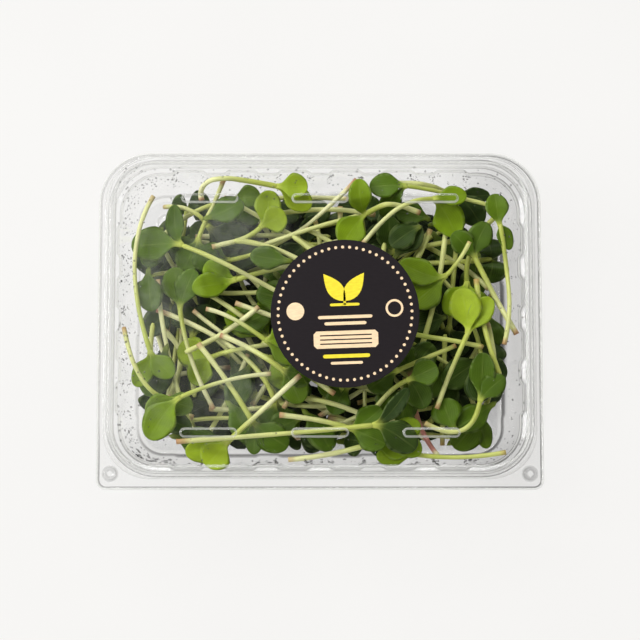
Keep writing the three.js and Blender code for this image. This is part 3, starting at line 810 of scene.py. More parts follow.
def leaf_skin():
    """Fleshy cotyledon: own colour with a paler midrib, fine veins and mottling."""
    material, tree = new_material("leaf_skin")
    colour, place = own_colour(tree)
    split = add_node(tree, "SeparateXYZ", place).outputs
    across = math_node(tree, "ABSOLUTE", math_node(tree, "SUBTRACT", split["Y"], 0.5))
    midrib = ramp(tree, across, (0.0, 1.0), (0.035, 0.0))
    mottle = noise(tree, object_point(tree), 260.0, 4.0)
    patches = noise(tree, object_point(tree), 55.0, 2.0)
    fan = math_node(tree, "MULTIPLY_ADD", across, 46.0, math_node(tree, "MULTIPLY", split["X"], -9.0))
    veins = math_node(tree, "POWER", math_node(tree, "ABSOLUTE", math_node(tree, "SINE", fan)), 9.0)
    colour = multiply(tree, colour, ramp(tree, patches, (0.3, 0.74), (0.72, 1.16)))
    colour = multiply(tree, colour, ramp(tree, mottle, (0.35, 0.9), (0.65, 1.06)))
    pale = math_node(tree, "MULTIPLY_ADD", midrib, 0.1, math_node(tree, "MULTIPLY", veins, 0.06))
    colour = mix_colour(tree, pale, colour, LEAF_VEIN)
    relief = math_node(tree, "MULTIPLY_ADD", veins, 0.35, mottle)
    show_skin(tree, colour, relief, 0.25, 0.0003, Roughness=0.45, Specular_IOR_Level=0.16)
    return material


def stem_skin():
    """Juicy stem: own colour with fine lengthwise streaks."""
    material, tree = new_material("stem_skin")
    colour, place = own_colour(tree)
    stretch = add_node(tree, "Mapping", place, Scale=(4, 14, 1)).outputs["Vector"]
    streaks = noise(tree, stretch, 3.0, 3.0)
    blotch = noise(tree, object_point(tree), 120.0, 2.0)
    colour = multiply(tree, colour, ramp(tree, streaks, (0.3, 0.88), (0.7, 1.06)))
    colour = multiply(tree, colour, ramp(tree, blotch, (0.3, 0.86), (0.7, 1.05)))
    show_skin(tree, colour, streaks, 0.2, 0.0002, Roughness=0.36, Specular_IOR_Level=0.35)
    return material


def printed_paper(name, colour, roughness):
    """Printed label stock: a flat ink with faint fibre and wear."""
    material, tree = new_material(name)
    fibre = noise(tree, object_point(tree, (1, 3, 1)), 420.0, 4.0)
    ink = multiply(tree, colour, ramp(tree, fibre, (0.3, 0.9), (0.7, 1.08)))
    show_skin(tree, ink, fibre, 0.08, 0.0001, Roughness=roughness, Specular_IOR_Level=0.15)
    return material


def water_drop():
    """Condensed water: clear in the middle with a dark rim and a bright glint."""
    material, tree = new_material("water_drop")
    facing = facing_away(tree)
    tint = ramp(tree, facing, (0.1, 0.9), (0.55, 0.1))
    show(tree, clear_gloss(tree, facing, tint, 4.0, 0.5, 0.06, Roughness=0.03))
    return material


FLOOR_GLOW = 0.92


def studio_floor():
    """Pale lit table, so that the shadows on it stay faint."""
    material, tree = new_material("studio_floor")
    grain = noise(tree, object_point(tree), 8.0, 2.0)
    shade = ramp(tree, grain, *zip((0.3, 0.7), FLOOR_SHADES))
    lit = multiply(tree, shade, grey(1 - FLOOR_GLOW))
    glow = {"Emission_Color": shade, "Emission_Strength": FLOOR_GLOW}
    show(tree, add_node(tree, "BsdfPrincipled", Base_Color=lit, Roughness=0.9, **glow))
    return material


# Pieces


def add_object(name, data):
    added = bpy.data.objects.new(name, data)
    bpy.context.scene.collection.objects.link(added)
    return added


def add_piece(name, bm, materials, body):
    """Makes a finished mesh from a bmesh worked in millimetres, riding on one body."""
    bmesh.ops.scale(bm, vec=(MM, MM, MM), verts=bm.verts)
    mesh = bpy.data.meshes.new(name)
    bm.to_mesh(mesh)
    bm.free()
    for material in materials:
        mesh.materials.append(material)
    piece = add_object(name, mesh)
    if body:
        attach(piece, body)
    return piece


def ring(bm, points):
    """A closed loop of vertices joined by edges."""
    verts = [bm.verts.new(point) for point in points]
    for a, b in zip(verts, verts[1:] + verts[:1]):
        bm.edges.new((a, b))
    return verts


def ring_edges(bm, verts):
    return [bm.edges.get(pair) for pair in zip(verts, verts[1:] + verts[:1])]


def pull(bm, verts, points):
    """Extrudes a loop, each vertex to its own point, and gives the new loop."""
    goals = dict(zip(verts, points))
    made = bmesh.ops.extrude_edge_only(bm, edges=ring_edges(bm, verts))["geom"]
    pulled = {}
    for part in made:
        if isinstance(part, bmesh.types.BMVert):
            old = next(edge.other_vert(part) for edge in part.link_edges if edge.other_vert(part) in goals)
            part.co = goals[old]
            pulled[old] = part
        elif isinstance(part, bmesh.types.BMFace):
            part.smooth = True
    return [pulled[vert] for vert in verts]


def new_sheet():
    bm = bmesh.new()
    bm.verts.layers.float.new("formed_edge")
    return bm


def loft(bm, outline_at, stations):
    """A sheet through outlines, each with how sharply it is formed, which sets the painted highlight and painted
    shade along formed edges; gives its first and last loop.
    """
    formed = bm.verts.layers.float["formed_edge"]
    first = last = None
    for *sizes, edge in stations:
        points = outline_at(*sizes)
        last = pull(bm, last, points) if last else ring(bm, points)
        first = first or last
        for vert in last:
            vert[formed] = edge
    return first, last


def fill(bm, *loops):
    """Flat sheet inside the first loop, open inside the others."""
    edges = [edge for loop in loops for edge in ring_edges(bm, loop)]
    bmesh.ops.triangle_fill(bm, use_beauty=True, edges=edges)


def raised(bm, outline_at, profile):
    """A closed rise in the sheet; gives its open foot."""
    foot, crest = loft(bm, outline_at, profile)
    fill(bm, crest)
    return foot


def raised_snaps(bm, profile, z):
    """Round snaps at the front corners."""
    return [
        raised(bm, lambda radius, rise: circle(side * SNAP_X, SNAP_Y, radius, z + rise), profile)
        for side in (-1, 1)
    ]


def raised_rib(bm, x, y):
    def rib_outline(grow, rise):
        return capsule(x, y, RIB_LENGTH + grow, RIB_WIDTH + grow, PANEL_Z + rise)
    return raised(bm, rib_outline, RIB_PROFILE)


FLUTE_RISE = ((-7.9, 0), (-7.2, 0.1), (-6.45, 0.5), (-5.7, 0.9), (-5, 1))
FLUTE_PROFILE = FLUTE_RISE + tuple((-along, share) for along, share in reversed(FLUTE_RISE))


def flute_points(count, depth):
    for k in range(count):
        centre = (k - (count - 1) / 2) * FLUTE_PITCH
        for along, share in FLUTE_PROFILE:
            yield centre + along, share * depth


def outline(right, back, front, back_corner, front_corner, z, flute=0.0, fluted=True):
    """Rounded outline at one height, clockwise from above, with flute points along each side."""
    points = []

    def corner(cx, cy, radius, start):
        for k in range(CORNER_ARC + 1):
            angle = start - k / CORNER_ARC * math.pi / 2
            points.append((cx + radius * math.cos(angle), cy + radius * math.sin(angle), z))

    long_side = list(flute_points(LONG_FLUTES, flute)) if fluted else []
    short_side = list(flute_points(SHORT_FLUTES, flute)) if fluted else []
    points += [(s, back + d, z) for s, d in long_side]
    corner(right - back_corner, back - back_corner, back_corner, math.pi / 2)
    points += [(right + d, WALL_Y - s, z) for s, d in short_side]
    corner(right - front_corner, front + front_corner, front_corner, 0)
    points += [(-s, front - d, z) for s, d in long_side]
    corner(-right + front_corner, front + front_corner, front_corner, -math.pi / 2)
    points += [(-right - d, WALL_Y + s, z) for s, d in short_side]
    corner(-right + back_corner, back - back_corner, back_corner, math.pi)
    return points


def flange_outline(inset, z):
    return outline(
        FLANGE_HALF_X - inset, FLANGE_BACK - inset, FLANGE_FRONT + inset,
        FLANGE_BACK_CORNER - inset, FLANGE_FRONT_CORNER - inset, z, 0, False,
    )


def wall_outline(grow, z, flute=0.0):
    return outline(
        FOOT_HALF_X + grow, WALL_Y + FOOT_HALF_Y + grow, WALL_Y - FOOT_HALF_Y - grow,
        FOOT_CORNER + grow, FOOT_CORNER + grow, z, flute,
    )


def lid_outline(inset, z):
    return outline(
        LID_FOOT_HALF_X - inset, LID_FOOT_BACK - inset, LID_FOOT_FRONT + inset,
        LID_FOOT_CORNER - inset, LID_FOOT_CORNER - inset, z, 0, False,
    )


def circle(x, y, radius, z, count=20):
    turns = [k / count * 2 * math.pi for k in range(count)]
    return [(x + radius * math.cos(a), y + radius * math.sin(a), z) for a in turns]


def capsule(x, y, length, width, z, count=8):
    """Outline of a rib with round ends."""
    points = []
    for side in (1, -1):
        for k in range(count + 1):
            angle = side * math.pi / 2 - k / count * math.pi
            end = x + side * (length - width) / 2
            points.append((end + width / 2 * math.cos(angle), y + width / 2 * math.sin(angle), z))
    return points


def face_out(bm, probe):
    """Turns an open sheet so that the face nearest the probe looks towards it."""
    bmesh.ops.recalc_face_normals(bm, faces=bm.faces)
    nearest = min(bm.faces, key=lambda face: (face.calc_center_median() - probe).length)
    if nearest.normal.dot(probe - nearest.calc_center_median()) < 0:
        bmesh.ops.reverse_faces(bm, faces=bm.faces)


def give_thickness(piece):
    sheet = piece.modifiers.new("sheet", "SOLIDIFY")
    sheet.thickness = SHEET * MM
    sheet.offset = -1.0


# Sections of the formed sheets: place or size, height, flute depth of a wall, and how sharply formed, which sets
# the painted highlight and painted shade along formed edges
RIM = LEDGE + RIM_LEAN
TRAY_WALL = (
    (-9.8, 0.9, 0, 0), (-9.0, 0.75, 0, 0.2), (-8.4, 0.15, 0, 0.2), (-7.8, 0, 0, 0), (-2.6, 0, 0, 0),
    (-1.2, 0.25, 0.15, 0), (-0.35, 0.95, 0.4, 0.4), (0.1, 2.2, 0.7, 0), (DRAFT * 0.5, 13.5, 1.1, 0),
    (DRAFT - 0.12, 24.6, FLUTE_DEPTH, 0), (DRAFT + 0.2, 25.35, FLUTE_DEPTH, 1),
    (DRAFT + 0.8, 25.75, 1.2, 0), (LEDGE - 0.9, 26.15, 0, 0), (LEDGE - 0.2, 26.5, 0, 1),
    (LEDGE + 0.05, 27.2, 0, 0), (RIM - 0.1, 31.5, 0, 0), (RIM + 0.3, 32.15, 0, 0.9),
    (RIM + 1.0, 32.4, 0, 0),
)
TRAY_TOP = TRAY_HEIGHT - SHEET
TRAY_LIP = ((0.9, TRAY_TOP, 0), (0.25, TRAY_TOP + 0.08, 0.6), (0, TRAY_TOP + 0.3, 1))
STUD_PROFILE = (
    (STUD_RADIUS + 0.5, 0, 0), (STUD_RADIUS, 0.4, 0.07), (STUD_RADIUS - 0.1, STUD_HEIGHT - 0.1, 0.05),
    (STUD_RADIUS - 0.5, STUD_HEIGHT + 0.3, 0.07), (STUD_RADIUS - 0.9, STUD_HEIGHT + 0.35, 0),
)
LID_Z = TRAY_HEIGHT + GAP + SHEET
INNER = LID_INSET + BORDER_WIDTH
LID_WALL = (
    (INNER + BORDER_LEAN + 0.6, PANEL_Z, 0), (INNER + BORDER_LEAN + 0.1, PANEL_Z + 0.15, 0.7),
    (INNER + 0.15, BORDER_Z - 0.2, 0.8), (INNER - 0.3, BORDER_Z, 0), (LID_INSET + 0.5, BORDER_Z, 0),
    (LID_INSET + 0.1, BORDER_Z - 0.2, 0.9), (LID_INSET - 0.1, BORDER_Z - 0.7, 0),
    (0.25, LID_Z + 1.1, 0), (0.02, LID_Z + 0.4, 0.7), (-0.25, LID_Z + 0.08, 0.7), (-0.6, LID_Z, 0),
)
LID_LIP = ((0.55, LID_Z, 0), (0.15, LID_Z + 0.06, 0.6), (0, LID_Z + 0.25, 1))
RIB_PROFILE = (
    (0.7, 0, 0), (0.35, 0.12, 0.4), (0.05, 0.4, 0.9), (-0.25, RIB_HEIGHT - 0.6, 1),
    (-0.6, RIB_HEIGHT - 0.25, 0.9), (-1.1, RIB_HEIGHT - 0.06, 0.35), (-1.7, RIB_HEIGHT, 0),
)
CUP_PROFILE = (
    (CUP_RADIUS + 0.4, 0, 0), (CUP_RADIUS, 0.35, 0.4), (CUP_RADIUS - 0.05, 1.35, 0.3),
    (CUP_RADIUS - 0.45, 1.7, 0.5), (CUP_RADIUS - 0.8, 1.72, 0), (1.6, 1.72, 0), (1.3, 1.5, 0.3),
    (0.9, 1.4, 0),
)
BELOW = Vector((0, WALL_Y, -200))
ABOVE = Vector((0, WALL_Y, 300))


def make_tray(plastic):
    bm = new_sheet()
    panel, mouth = loft(bm, wall_outline, TRAY_WALL)
    fill(bm, panel)
    edge, _ = loft(bm, flange_outline, TRAY_LIP)
    fill(bm, edge, mouth, *raised_snaps(bm, STUD_PROFILE, TRAY_TOP))
    face_out(bm, BELOW)
    tray = add_piece("tray_sheet", bm, [plastic], "tray")
    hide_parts("tray")
    give_thickness(tray)


def make_lid(plastic):
    bm = new_sheet()
    panel, base = loft(bm, lid_outline, LID_WALL)
    rows = (RIB_FRONT_Y, RIB_BACK_Y)
    fill(bm, panel, *[raised_rib(bm, step * RIB_PITCH, y) for y in rows for step in (-1, 0, 1)])
    cups = raised_snaps(bm, CUP_PROFILE, LID_Z)
    edge, _ = loft(bm, flange_outline, LID_LIP)
    fill(bm, edge, base, *cups)
    face_out(bm, ABOVE)
    lid = add_piece("lid_sheet", bm, [plastic], "lid")
    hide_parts("lid")
    give_thickness(lid)


FOLD_INSET = 0.1
FOLD_BULGE = 0.28


def make_hinge(plastic):
    """Thin fold that joins the back edges of tray and lid."""
    half = FLANGE_HALF_X - FLANGE_BACK_CORNER
    low = TRAY_HEIGHT - SHEET / 2
    high = TRAY_HEIGHT + GAP + SHEET / 2
    bm = bmesh.new()
    bmesh.ops.create_grid(bm, x_segments=40, y_segments=8, size=1.0)
    for vert in bm.verts:
        turn = vert.co.y * math.pi / 2
        y = FLANGE_BACK - FOLD_INSET + FOLD_BULGE * math.cos(turn)
        vert.co = Vector((vert.co.x * half, y, (low + high) / 2 + (high - low) / 2 * math.sin(turn)))
    for face in bm.faces:
        face.smooth = True
    fold = add_piece("hinge_fold", bm, [plastic], None)
    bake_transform(fold, "tray", "lid", start=(0, FLANGE_BACK * MM, low * MM), end=(0, FLANGE_BACK * MM, high * MM))


def raise_faces(bm, faces, thick):
    """Extrudes flat faces upwards to a closed plate."""
    made = bmesh.ops.extrude_face_region(bm, geom=faces)["geom"]
    verts = [part for part in made if isinstance(part, bmesh.types.BMVert)]
    bmesh.ops.translate(bm, vec=(0, 0, thick), verts=verts)


def leaf_shape(x, y, length, width, turn, count=9):
    """Pointed leaf outline for the printed sprout."""
    points = []
    for side in (1, -1):
        for k in range(count):
            t = k / count if side == 1 else 1 - k / count
            out = side * width / 2 * math.sin(math.pi * t ** 0.8)
            px, py = ahead((x, y), turn, length * t)
            points.append((px - out * math.sin(turn), py + out * math.cos(turn)))
    return points


def bar(x, y, length, width):
    return [(px, py) for px, py, _ in capsule(x, y, length, width, 0, 4)]


def dot(x, y, radius, count=24):
    return [(px, py) for px, py, _ in circle(x, y, radius, 0, count)]


LABEL_SIDES = 96
LABEL_ROUND = 0.08
LABEL_TURN = math.radians(2)
PRINT_GAP = 0.01
PRINT_THICK = 0.03
OVERPRINT_THICK = 0.02
CREAM_INK, YELLOW_INK, DARK_INK = range(3)
RING_DOTS = 60
RING_RADIUS = 27
RING_DOT = 0.62
SPROUT_STEM = ((-0.55, 3.4), (0.55, 3.4), (0.4, 8), (-0.4, 8))
PRINT_BOX = (
    (-13, -12.8), (-11.8, -14), (11.8, -14), (13, -12.8), (13, -8.2), (11.8, -7), (-11.8, -7), (-13, -8.2),
)


def label_print():
    """Outlines of the label's print with their inks; dark ink lies on the others."""
    for k in range(RING_DOTS):
        yield dot(*ahead((0, 0), k / RING_DOTS * 2 * math.pi, RING_RADIUS), RING_DOT, 10), CREAM_INK
    for turn in (2.2, 0.94):
        yield leaf_shape(0, 5, 14, 6.4, turn), YELLOW_INK
    yield bar(0, 3.6, 12, 1.1), YELLOW_INK
    yield SPROUT_STEM, YELLOW_INK
    yield bar(0, -1.4, 22, 1.3), CREAM_INK
    yield bar(0, -4.0, 17, 1.3), CREAM_INK
    yield PRINT_BOX, CREAM_INK
    for k in range(3):
        yield bar(0, -8.8 - 1.7 * k, 21, 0.5), DARK_INK
    yield bar(0, -17.2, 19, 1.5), YELLOW_INK
    yield bar(0, -20, 13, 1.1), CREAM_INK
    yield dot(-20, 1.5, 3.6), CREAM_INK
    yield dot(20, 1.5, 3.6), CREAM_INK
    yield dot(20, 1.5, 2.7), DARK_INK


def make_label(ink, cream, yellow, backing):
    base = PANEL_Z + 0.05
    bm = bmesh.new()
    disc = bmesh.ops.create_circle(bm, cap_ends=True, segments=LABEL_SIDES, radius=LABEL_RADIUS)
    bmesh.ops.translate(bm, vec=(LABEL_X, LABEL_Y, base), verts=disc["verts"])
    raise_faces(bm, list(bm.faces), LABEL_THICK)
    bmesh.ops.recalc_face_normals(bm, faces=bm.faces)
    rim = [edge for edge in bm.edges if all(vert.co.z > base + LABEL_THICK / 2 for vert in edge.verts)]
    bmesh.ops.bevel(
        bm, geom=rim, offset=LABEL_ROUND, offset_type="OFFSET", affect="EDGES", segments=2, profile=0.5,
        material=-1,
    )
    for face in bm.faces:
        face.material_index = 1 if face.normal.z < -0.5 else 0
    label = add_piece("label_disc", bm, [ink, backing], "lid")
    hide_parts("label")

    bm = bmesh.new()
    low = base + LABEL_THICK + PRINT_GAP
    for points, tone in label_print():
        z, thick = low, PRINT_THICK
        if tone == DARK_INK:
            z, thick = low + PRINT_THICK + PRINT_GAP, OVERPRINT_THICK
        face = bm.faces.new([bm.verts.new((x, y, z)) for x, y in points])
        face.material_index = tone
        raise_faces(bm, [face], thick)
    bmesh.ops.rotate(bm, cent=(0, 0, 0), matrix=Matrix.Rotation(LABEL_TURN, 3, "Z"), verts=bm.verts)
    bmesh.ops.translate(bm, vec=(LABEL_X, LABEL_Y, 0), verts=bm.verts)
    bmesh.ops.recalc_face_normals(bm, faces=bm.faces)
    add_piece("label_print", bm, [cream, yellow, ink], "lid")


def smooth_faces(verts):
    """Shades the faces on some vertices smoothly, and gives them."""
    faces = {face for vert in verts for face in vert.link_faces}
    for face in faces:
        face.smooth = True
    return faces


class ShootMesh:
    """Collects stems and leaves of one piece, with their colours and blade map."""

    def __init__(self):
        self.bm = bmesh.new()
        self.colour = self.bm.verts.layers.float_color.new("leaf_colour")
        self.uv = self.bm.loops.layers.uv.new("blade")

    def surface(self, rows, columns, place, material):
        """A grid laid on place(u, v), u and v from 0 to 1, which gives a point and a colour."""
        verts = bmesh.ops.create_grid(self.bm, x_segments=rows, y_segments=columns, size=0.5)["verts"]
        uvs = {vert: (vert.co.x + 0.5, vert.co.y + 0.5) for vert in verts}
        for vert, (u, v) in uvs.items():
            vert.co, vert[self.colour] = place(u, v)
        for face in smooth_faces(verts):
            face.material_index = material
            for loop in face.loops:
                loop[self.uv].uv = uvs[loop.vert]

    def finish(self, name, materials, node):
        bmesh.ops.remove_doubles(self.bm, verts=self.bm.verts, dist=1e-4)
        bmesh.ops.recalc_face_normals(self.bm, faces=self.bm.faces)
        piece = add_piece(name, self.bm, materials, "tray")
        if node:
            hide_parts(node)


def blend_colour(a, b, share):
    return tuple(x * (1 - share) + y * share for x, y in zip(a, b))


def smooth(low, high, value):
    t = max(0.0, min(1.0, (value - low) / (high - low)))
    return t * t * (3 - 2 * t)


STEM_GIRTH = (0.76, 0.98)
STEM_WAIST = (0.84, 0.98)
STEM_KNOBBLE = 0.03
STEM_KNOBBLES = 23
STEM_CUT = (0.015, 0.085)
STEM_FADE = (0.25, 0.95)
CROWN_TAPER = 0.55


def draw_stem(mesh, shoot, cut_colour, low_colour, high_colour, chance):
    rows = STEM_STEPS + 3
    points = list(shoot.stem)
    end = points[-1] + (points[-1] - points[-2]).normalized() * CROWN_OVERRUN
    girth = STEM_RADIUS * chance.uniform(*STEM_GIRTH)
    waist = chance.uniform(*STEM_WAIST)
    knobble = chance.uniform(0, 6)

    def place(u, v):
        row = round(u * rows)
        k = max(0, min(STEM_STEPS, row - 1))
        point = end if row >= rows - 1 else points[k]
        tangent = (points[min(STEM_STEPS, k + 1)] - points[max(0, k - 1)]).normalized()
        side = tangent.cross(UP).normalized()
        up = side.cross(tangent)
        s = k / STEM_STEPS
        bumps = 1 + STEM_KNOBBLE * math.sin(knobble + STEM_KNOBBLES * s)
        radius = girth * (1 - (1 - waist) * math.sin(math.pi * s)) * bumps
        if row in (0, rows):
            radius = 0
        elif row == rows - 1:
            radius *= CROWN_TAPER
        turn = 2 * math.pi * v
        colour = blend_colour(low_colour, high_colour, smooth(*STEM_FADE, s))
        colour = blend_colour(cut_colour, colour, smooth(*STEM_CUT, s))
        return point + (side * math.cos(turn) + up * math.sin(turn)) * radius, colour

    mesh.surface(rows, STEM_SIDES, place, 1)


LEAF_SINK = 0.7
LEAF_WAVE = (0.1, 0.35)
LEAF_WAVES = 7
GROOVE_DEPTH = 0.16
GROOVE_WIDTH = 0.12


def draw_leaf(mesh, leaf, colour, petiole, chance, rows=LEAF_ROWS, columns=LEAF_COLUMNS, sink=0):
    ripple = chance.uniform(0, 6)
    wave = chance.uniform(*LEAF_WAVE)
    under = blend_colour(colour, LEAF_UNDERSIDE, 0.35)

    for face in (1, -1):
        def place(u, v):
            t = 1 - (1 - u) ** 1.5
            across = 2 * v - 1
            bulge = math.sin(math.pi / 2 * (1 - abs(across) ** 2.2)) if abs(across) < 1 else 0.0
            thick = LEAF_HALF_THICK * (1.25 - 0.55 * smooth(0.15, 0.4, t)) * bulge
            pinch = min(1.0, u * rows)
            x, y = leaf.across(t, across * pinch)
            edge = wave * abs(across) ** 3 * math.sin(ripple + LEAF_WAVES * t) * smooth(0.3, 0.6, t)
            groove = -GROOVE_DEPTH * math.exp(-((across / GROOVE_WIDTH) ** 2))
            groove *= smooth(0.1, 0.4, t) * (1 - smooth(0.8, 1.0, t))
            closed = 0.0 if u in (0.0, 1.0) else 1.0
            z = leaf.height(t) + leaf.tilt(t, across * pinch) - sink * smooth(0.1, 0.3, t)
            z += (face * thick * pinch + edge + groove) * closed
            tint = colour if face == 1 else under
            return Vector((x, y, z)), blend_colour(petiole, tint, smooth(0.12, 0.4, t))

        mesh.surface(rows, columns, place, 0)


def stem_tone(shoot, share):
    """Colour of a stem's lower part, more of the darker green towards the tray's right as painted shade."""
    # Painted shade: more of the darker green towards the tray's right
    painted_right_shade = 0.4 * smooth(0, 50, shoot.stem[STEM_STEPS // 2].x)
    return blend_colour(STEM_PALE, STEM_GREEN, share + painted_right_shade)


def draw_shoot(mesh, shoot, chance, pink=False):
    tone = LEAF_TONES[shoot.tone]
    low = stem_tone(shoot, chance.uniform(0.0, 0.55))
    high = blend_colour(STEM_GREEN, tone, chance.uniform(0.05, 0.35))
    cut = blend_colour(CUT_BROWN, low, chance.uniform(0.0, 0.5))
    if pink:
        cut = STEM_PALE
        low = STEM_PINK
        high = blend_colour(STEM_PINK, STEM_GREEN, 0.3)
    draw_stem(mesh, shoot, cut, low, high, chance)
    lower = min(shoot.leaves, key=lambda leaf: leaf.height(0.5))
    for leaf in shoot.leaves:
        step = chance.uniform(-0.35, 0.3)
        other = LEAF_TONES[max(0, min(3, shoot.tone + (1 if step > 0 else -1)))]
        sink = LEAF_SINK if leaf is lower else 0
        draw_leaf(mesh, leaf, blend_colour(tone, other, abs(step)), high, chance, sink=sink)


DRAW_SEED = 77


def make_shoots(skins):
    chance = random.Random(DRAW_SEED)
    for k, bunch in enumerate(plan_bunches()):
        mesh = ShootMesh()
        for shoot in settle_bunch(bunch):
            draw_shoot(mesh, shoot, chance)
        mesh.finish(f"lower_bunch_fine_{k + 1:02d}", skins, f"lower_bunch_{k + 1:02d}")
    for k, row in enumerate(SHOOTS):
        mesh = ShootMesh()
        shoot = settle_shoot(row, PILE_Z + PILE_RISE * k / len(SHOOTS))
        draw_shoot(mesh, shoot, chance, k == PINK_SHOOT)
        mesh.finish(f"shoot_fine_{k + 1:02d}", skins, f"shoot_{k + 1:02d}")
    stems = lay_loose(LOOSE_STEM_TRIES, loose_stem)
    leaves = lay_loose(LOOSE_LEAF_TRIES, loose_leaf)
    mesh = ShootMesh()
    # Floor leaves are drawn darker than any shoot's leaf, partly painted shade under the pile
    for flat in lay_bed_leaves():
        draw_leaf(mesh, flat, BED_LEAF_AND_SHADE_TONE, LEAF_TONES[0], chance, BED_ROWS, BED_COLUMNS)
    mesh.finish("bed_leaves", skins, None)
    for first in range(0, len(leaves), LOOSE_PIECE):
        mesh = ShootMesh()
        for loose in leaves[first : first + LOOSE_PIECE]:
            # Loose leaves lie deep in the pile and take real leaf tones, but only the two darkest: partly painted
            # shade
            tone = blend_colour(LEAF_TONES[0], LEAF_TONES[1], chance.uniform(0, 1))
            petiole = blend_colour(tone, STEM_GREEN, 0.25)
            draw_leaf(mesh, loose, tone, petiole, chance, LOOSE_ROWS, LOOSE_COLUMNS)
        mesh.finish(f"loose_leaves_{first // LOOSE_PIECE + 1}", skins, None)
    mesh = ShootMesh()
    for loose in stems:
        low = stem_tone(loose, chance.uniform(0.1, 0.6))
        high = blend_colour(low, STEM_GREEN, 0.6)
        draw_stem(mesh, loose, blend_colour(CUT_BROWN, low, 0.3), low, high, chance)
    mesh.finish("loose_stems", skins, None)

DROP_SEED = 31
TRAY_DROPS = 1300
TRAY_DROP_RADII = (0.18, 0.22, 0.28, 0.35, 0.5)
TRAY_DROP_TOP = 25
TRAY_DROP_DEPTH = 20
TRAY_DROP_SPREAD = 8
FRONT_DROP_GROWTH = 1.8
RIGHT_DROP_CHANCE = 0.25
OTHER_DROP_CHANCE = 0.8
LID_DROPS = 420
LID_DROP_RADII = (0.2, 0.26, 0.34, 0.45)
LID_DROP_SPREAD = 7
LID_DROP_SIDES = "LLLFBBR"


def add_drop(bm, point, normal, radius):
    """Low dome of water with its flat side on the sheet."""
    place = Matrix.Translation(point) @ normal.to_track_quat("Z", "Y").to_matrix().to_4x4()
    verts = bmesh.ops.create_icosphere(bm, subdivisions=1, radius=radius, matrix=place)["verts"]
    smooth_faces(verts)
    for vert in verts:
        depth = (vert.co - point).dot(normal)
        vert.co -= normal * depth * (0.45 if depth > 0 else 0.9)


def wall_spot(chance, z):
    """A random place on the inner side of the tray's wall at one height, and its normal."""
    share = (z - FOOT_ROUND) / (LEDGE_Z - FOOT_ROUND)
    points = wall_outline(DRAFT * share - SHEET - 0.05, z, FLUTE_DEPTH * (0.5 + 0.5 * share))
    k = chance.randrange(len(points))
    a = Vector(points[k - 1])
    b = Vector(points[k])
    inward = (b - a).cross(UP).normalized()
    return a.lerp(b, chance.random()), (inward + Vector((0, 0, 0.2))).normalized()


def make_drops(water):
    chance = random.Random(DROP_SEED)
    bm = bmesh.new()
    for _ in range(TRAY_DROPS):
        z = TRAY_DROP_TOP - abs(chance.gauss(0, TRAY_DROP_SPREAD)) % TRAY_DROP_DEPTH
        point, normal = wall_spot(chance, z)
        radius = chance.choice(TRAY_DROP_RADII)
        if point.y < -FOOT_HALF_Y + FOOT_CORNER:
            radius *= FRONT_DROP_GROWTH
        right = point.x > FOOT_HALF_X - FOOT_CORNER
        if chance.random() < (RIGHT_DROP_CHANCE if right else OTHER_DROP_CHANCE):
            add_drop(bm, point, normal, radius)
    add_piece("tray_drops", bm, [water], "tray")
    bm = bmesh.new()
    for _ in range(LID_DROPS):
        along = chance.uniform(-1, 1)
        deep = abs(chance.gauss(0, LID_DROP_SPREAD))
        side = chance.choice(LID_DROP_SIDES)
        sign = -1 if side in "LF" else 1
        x, y = (sign * (82 - deep), along * 60) if side in "LR" else (along * 80, sign * (60 - deep))
        point = Vector((x, WALL_Y + y, PANEL_Z - SHEET))
        add_drop(bm, point, -UP, chance.choice(LID_DROP_RADII))
    add_piece("lid_drops", bm, [water], "lid")


# Scene


FLOOR_HALF = 3000


def make_floor():
    bm = bmesh.new()
    bmesh.ops.create_grid(bm, x_segments=2, y_segments=2, size=FLOOR_HALF)
    add_piece("floor", bm, [studio_floor()], None)


SKY_BRIGHT_SIDE = (-0.75, 0.65, 0)
SKY_TURN = (-0.4, 0.6)
SKY_SIDES = (0.25, 1.0)
SKY_TOP = (0.8, 0.97)
SKY_ABOVE = 0.03
SKY_EDGE = (0.1, 0.2)
SKY_GLOW = 0.45
SOFTBOXES = (
    ("left_box", (-0.85, 0.15, 0.95), (0.3, 0.95), 9.5),
    ("back_box", (-0.2, 0.9, 0.95), (0.95, 0.28), 8.5),
    ("right_box", (0.95, -0.1, 0.85), (0.12, 1.0), 2.5),
    ("front_box", (0.1, -1.0, 0.9), (1.1, 0.12), 5.0),
)
CAMERA_DISTANCE = 0.72
CAMERA_TILT = 6
FRAME_WIDTH = 0.2624
SENSOR = 36


def make_camera():
    data = bpy.data.cameras.new("camera")
    data.sensor_width = SENSOR
    data.lens = SENSOR * CAMERA_DISTANCE / FRAME_WIDTH
    camera = add_object("camera", data)
    tilt = math.radians(CAMERA_TILT)
    height = TRAY_HEIGHT * MM + CAMERA_DISTANCE * math.cos(tilt)
    camera.location = (0, -CAMERA_DISTANCE * math.sin(tilt), height)
    camera.rotation_euler = (tilt, 0, 0)
    bpy.context.scene.camera = camera


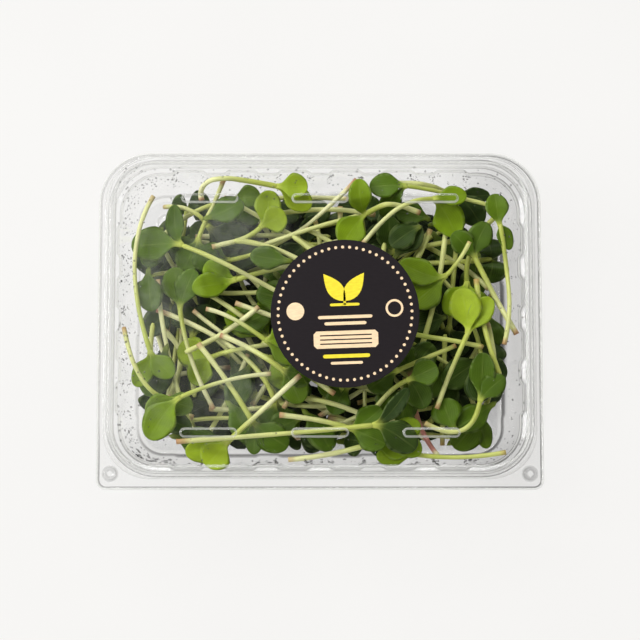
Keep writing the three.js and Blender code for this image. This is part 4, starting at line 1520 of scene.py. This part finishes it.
def add_softbox(name, place, size, radiance):
    """Rectangular soft light that looks at the part."""
    data = bpy.data.lights.new(name, "AREA")
    data.shape = "RECTANGLE"
    data.size, data.size_y = size
    data.energy = radiance * math.pi * size[0] * size[1]
    lamp = add_object(name, data)
    lamp.location = place
    lamp.rotation_euler = (-Vector(place)).to_track_quat("-Z", "Y").to_euler()


def make_light():
    """Soft studio: brighter from the back left, and dark straight above where the camera stands."""
    world = bpy.data.worlds.new("studio")
    bpy.context.scene.world = world
    world.use_nodes = True
    tree = world.node_tree
    sky = tree.nodes["Background"]
    put(tree, sky.inputs["Color"], grey(1.0))
    way = add_node(tree, "TexCoord").outputs["Generated"]
    lean = add_node(tree, "VectorMath", way, SKY_BRIGHT_SIDE, operation="DOT_PRODUCT").outputs["Value"]
    side = soft_step(tree, lean, SKY_TURN, SKY_SIDES)
    height = add_node(tree, "SeparateXYZ", way).outputs["Z"]
    above = soft_step(tree, height, SKY_TOP, (1.0, SKY_ABOVE))
    glow = soft_step(tree, lean, SKY_EDGE, (0.0, SKY_GLOW))
    strength = math_node(tree, "MAXIMUM", math_node(tree, "MULTIPLY", side, above), glow)
    put(tree, sky.inputs["Strength"], strength)
    for name, place, size, radiance in SOFTBOXES:
        add_softbox(name, place, size, radiance)


def main():
    scene = bpy.context.scene
    scene.view_settings.view_transform = "Standard"
    scene.cycles.transparent_max_bounces = 32
    make_camera()
    make_light()
    make_floor()
    lid_plastic = clear_sheet("lid_plastic", LID_FOG_PATCHES, LID_FOG, False)
    tray_plastic = clear_sheet("tray_plastic", TRAY_FOG_PATCHES, TRAY_FOG, True)
    make_tray(tray_plastic)
    make_lid(lid_plastic)
    make_hinge(tray_plastic)
    ink = printed_paper("label_ink", NEAR_BLACK, 0.5)
    cream = printed_paper("label_cream", CREAM, 0.55)
    yellow = printed_paper("label_yellow", YELLOW, 0.55)
    make_label(ink, cream, yellow, printed_paper("label_backing", BACKING, 0.6))
    make_shoots([leaf_skin(), stem_skin()])
    make_drops(water_drop())


main()
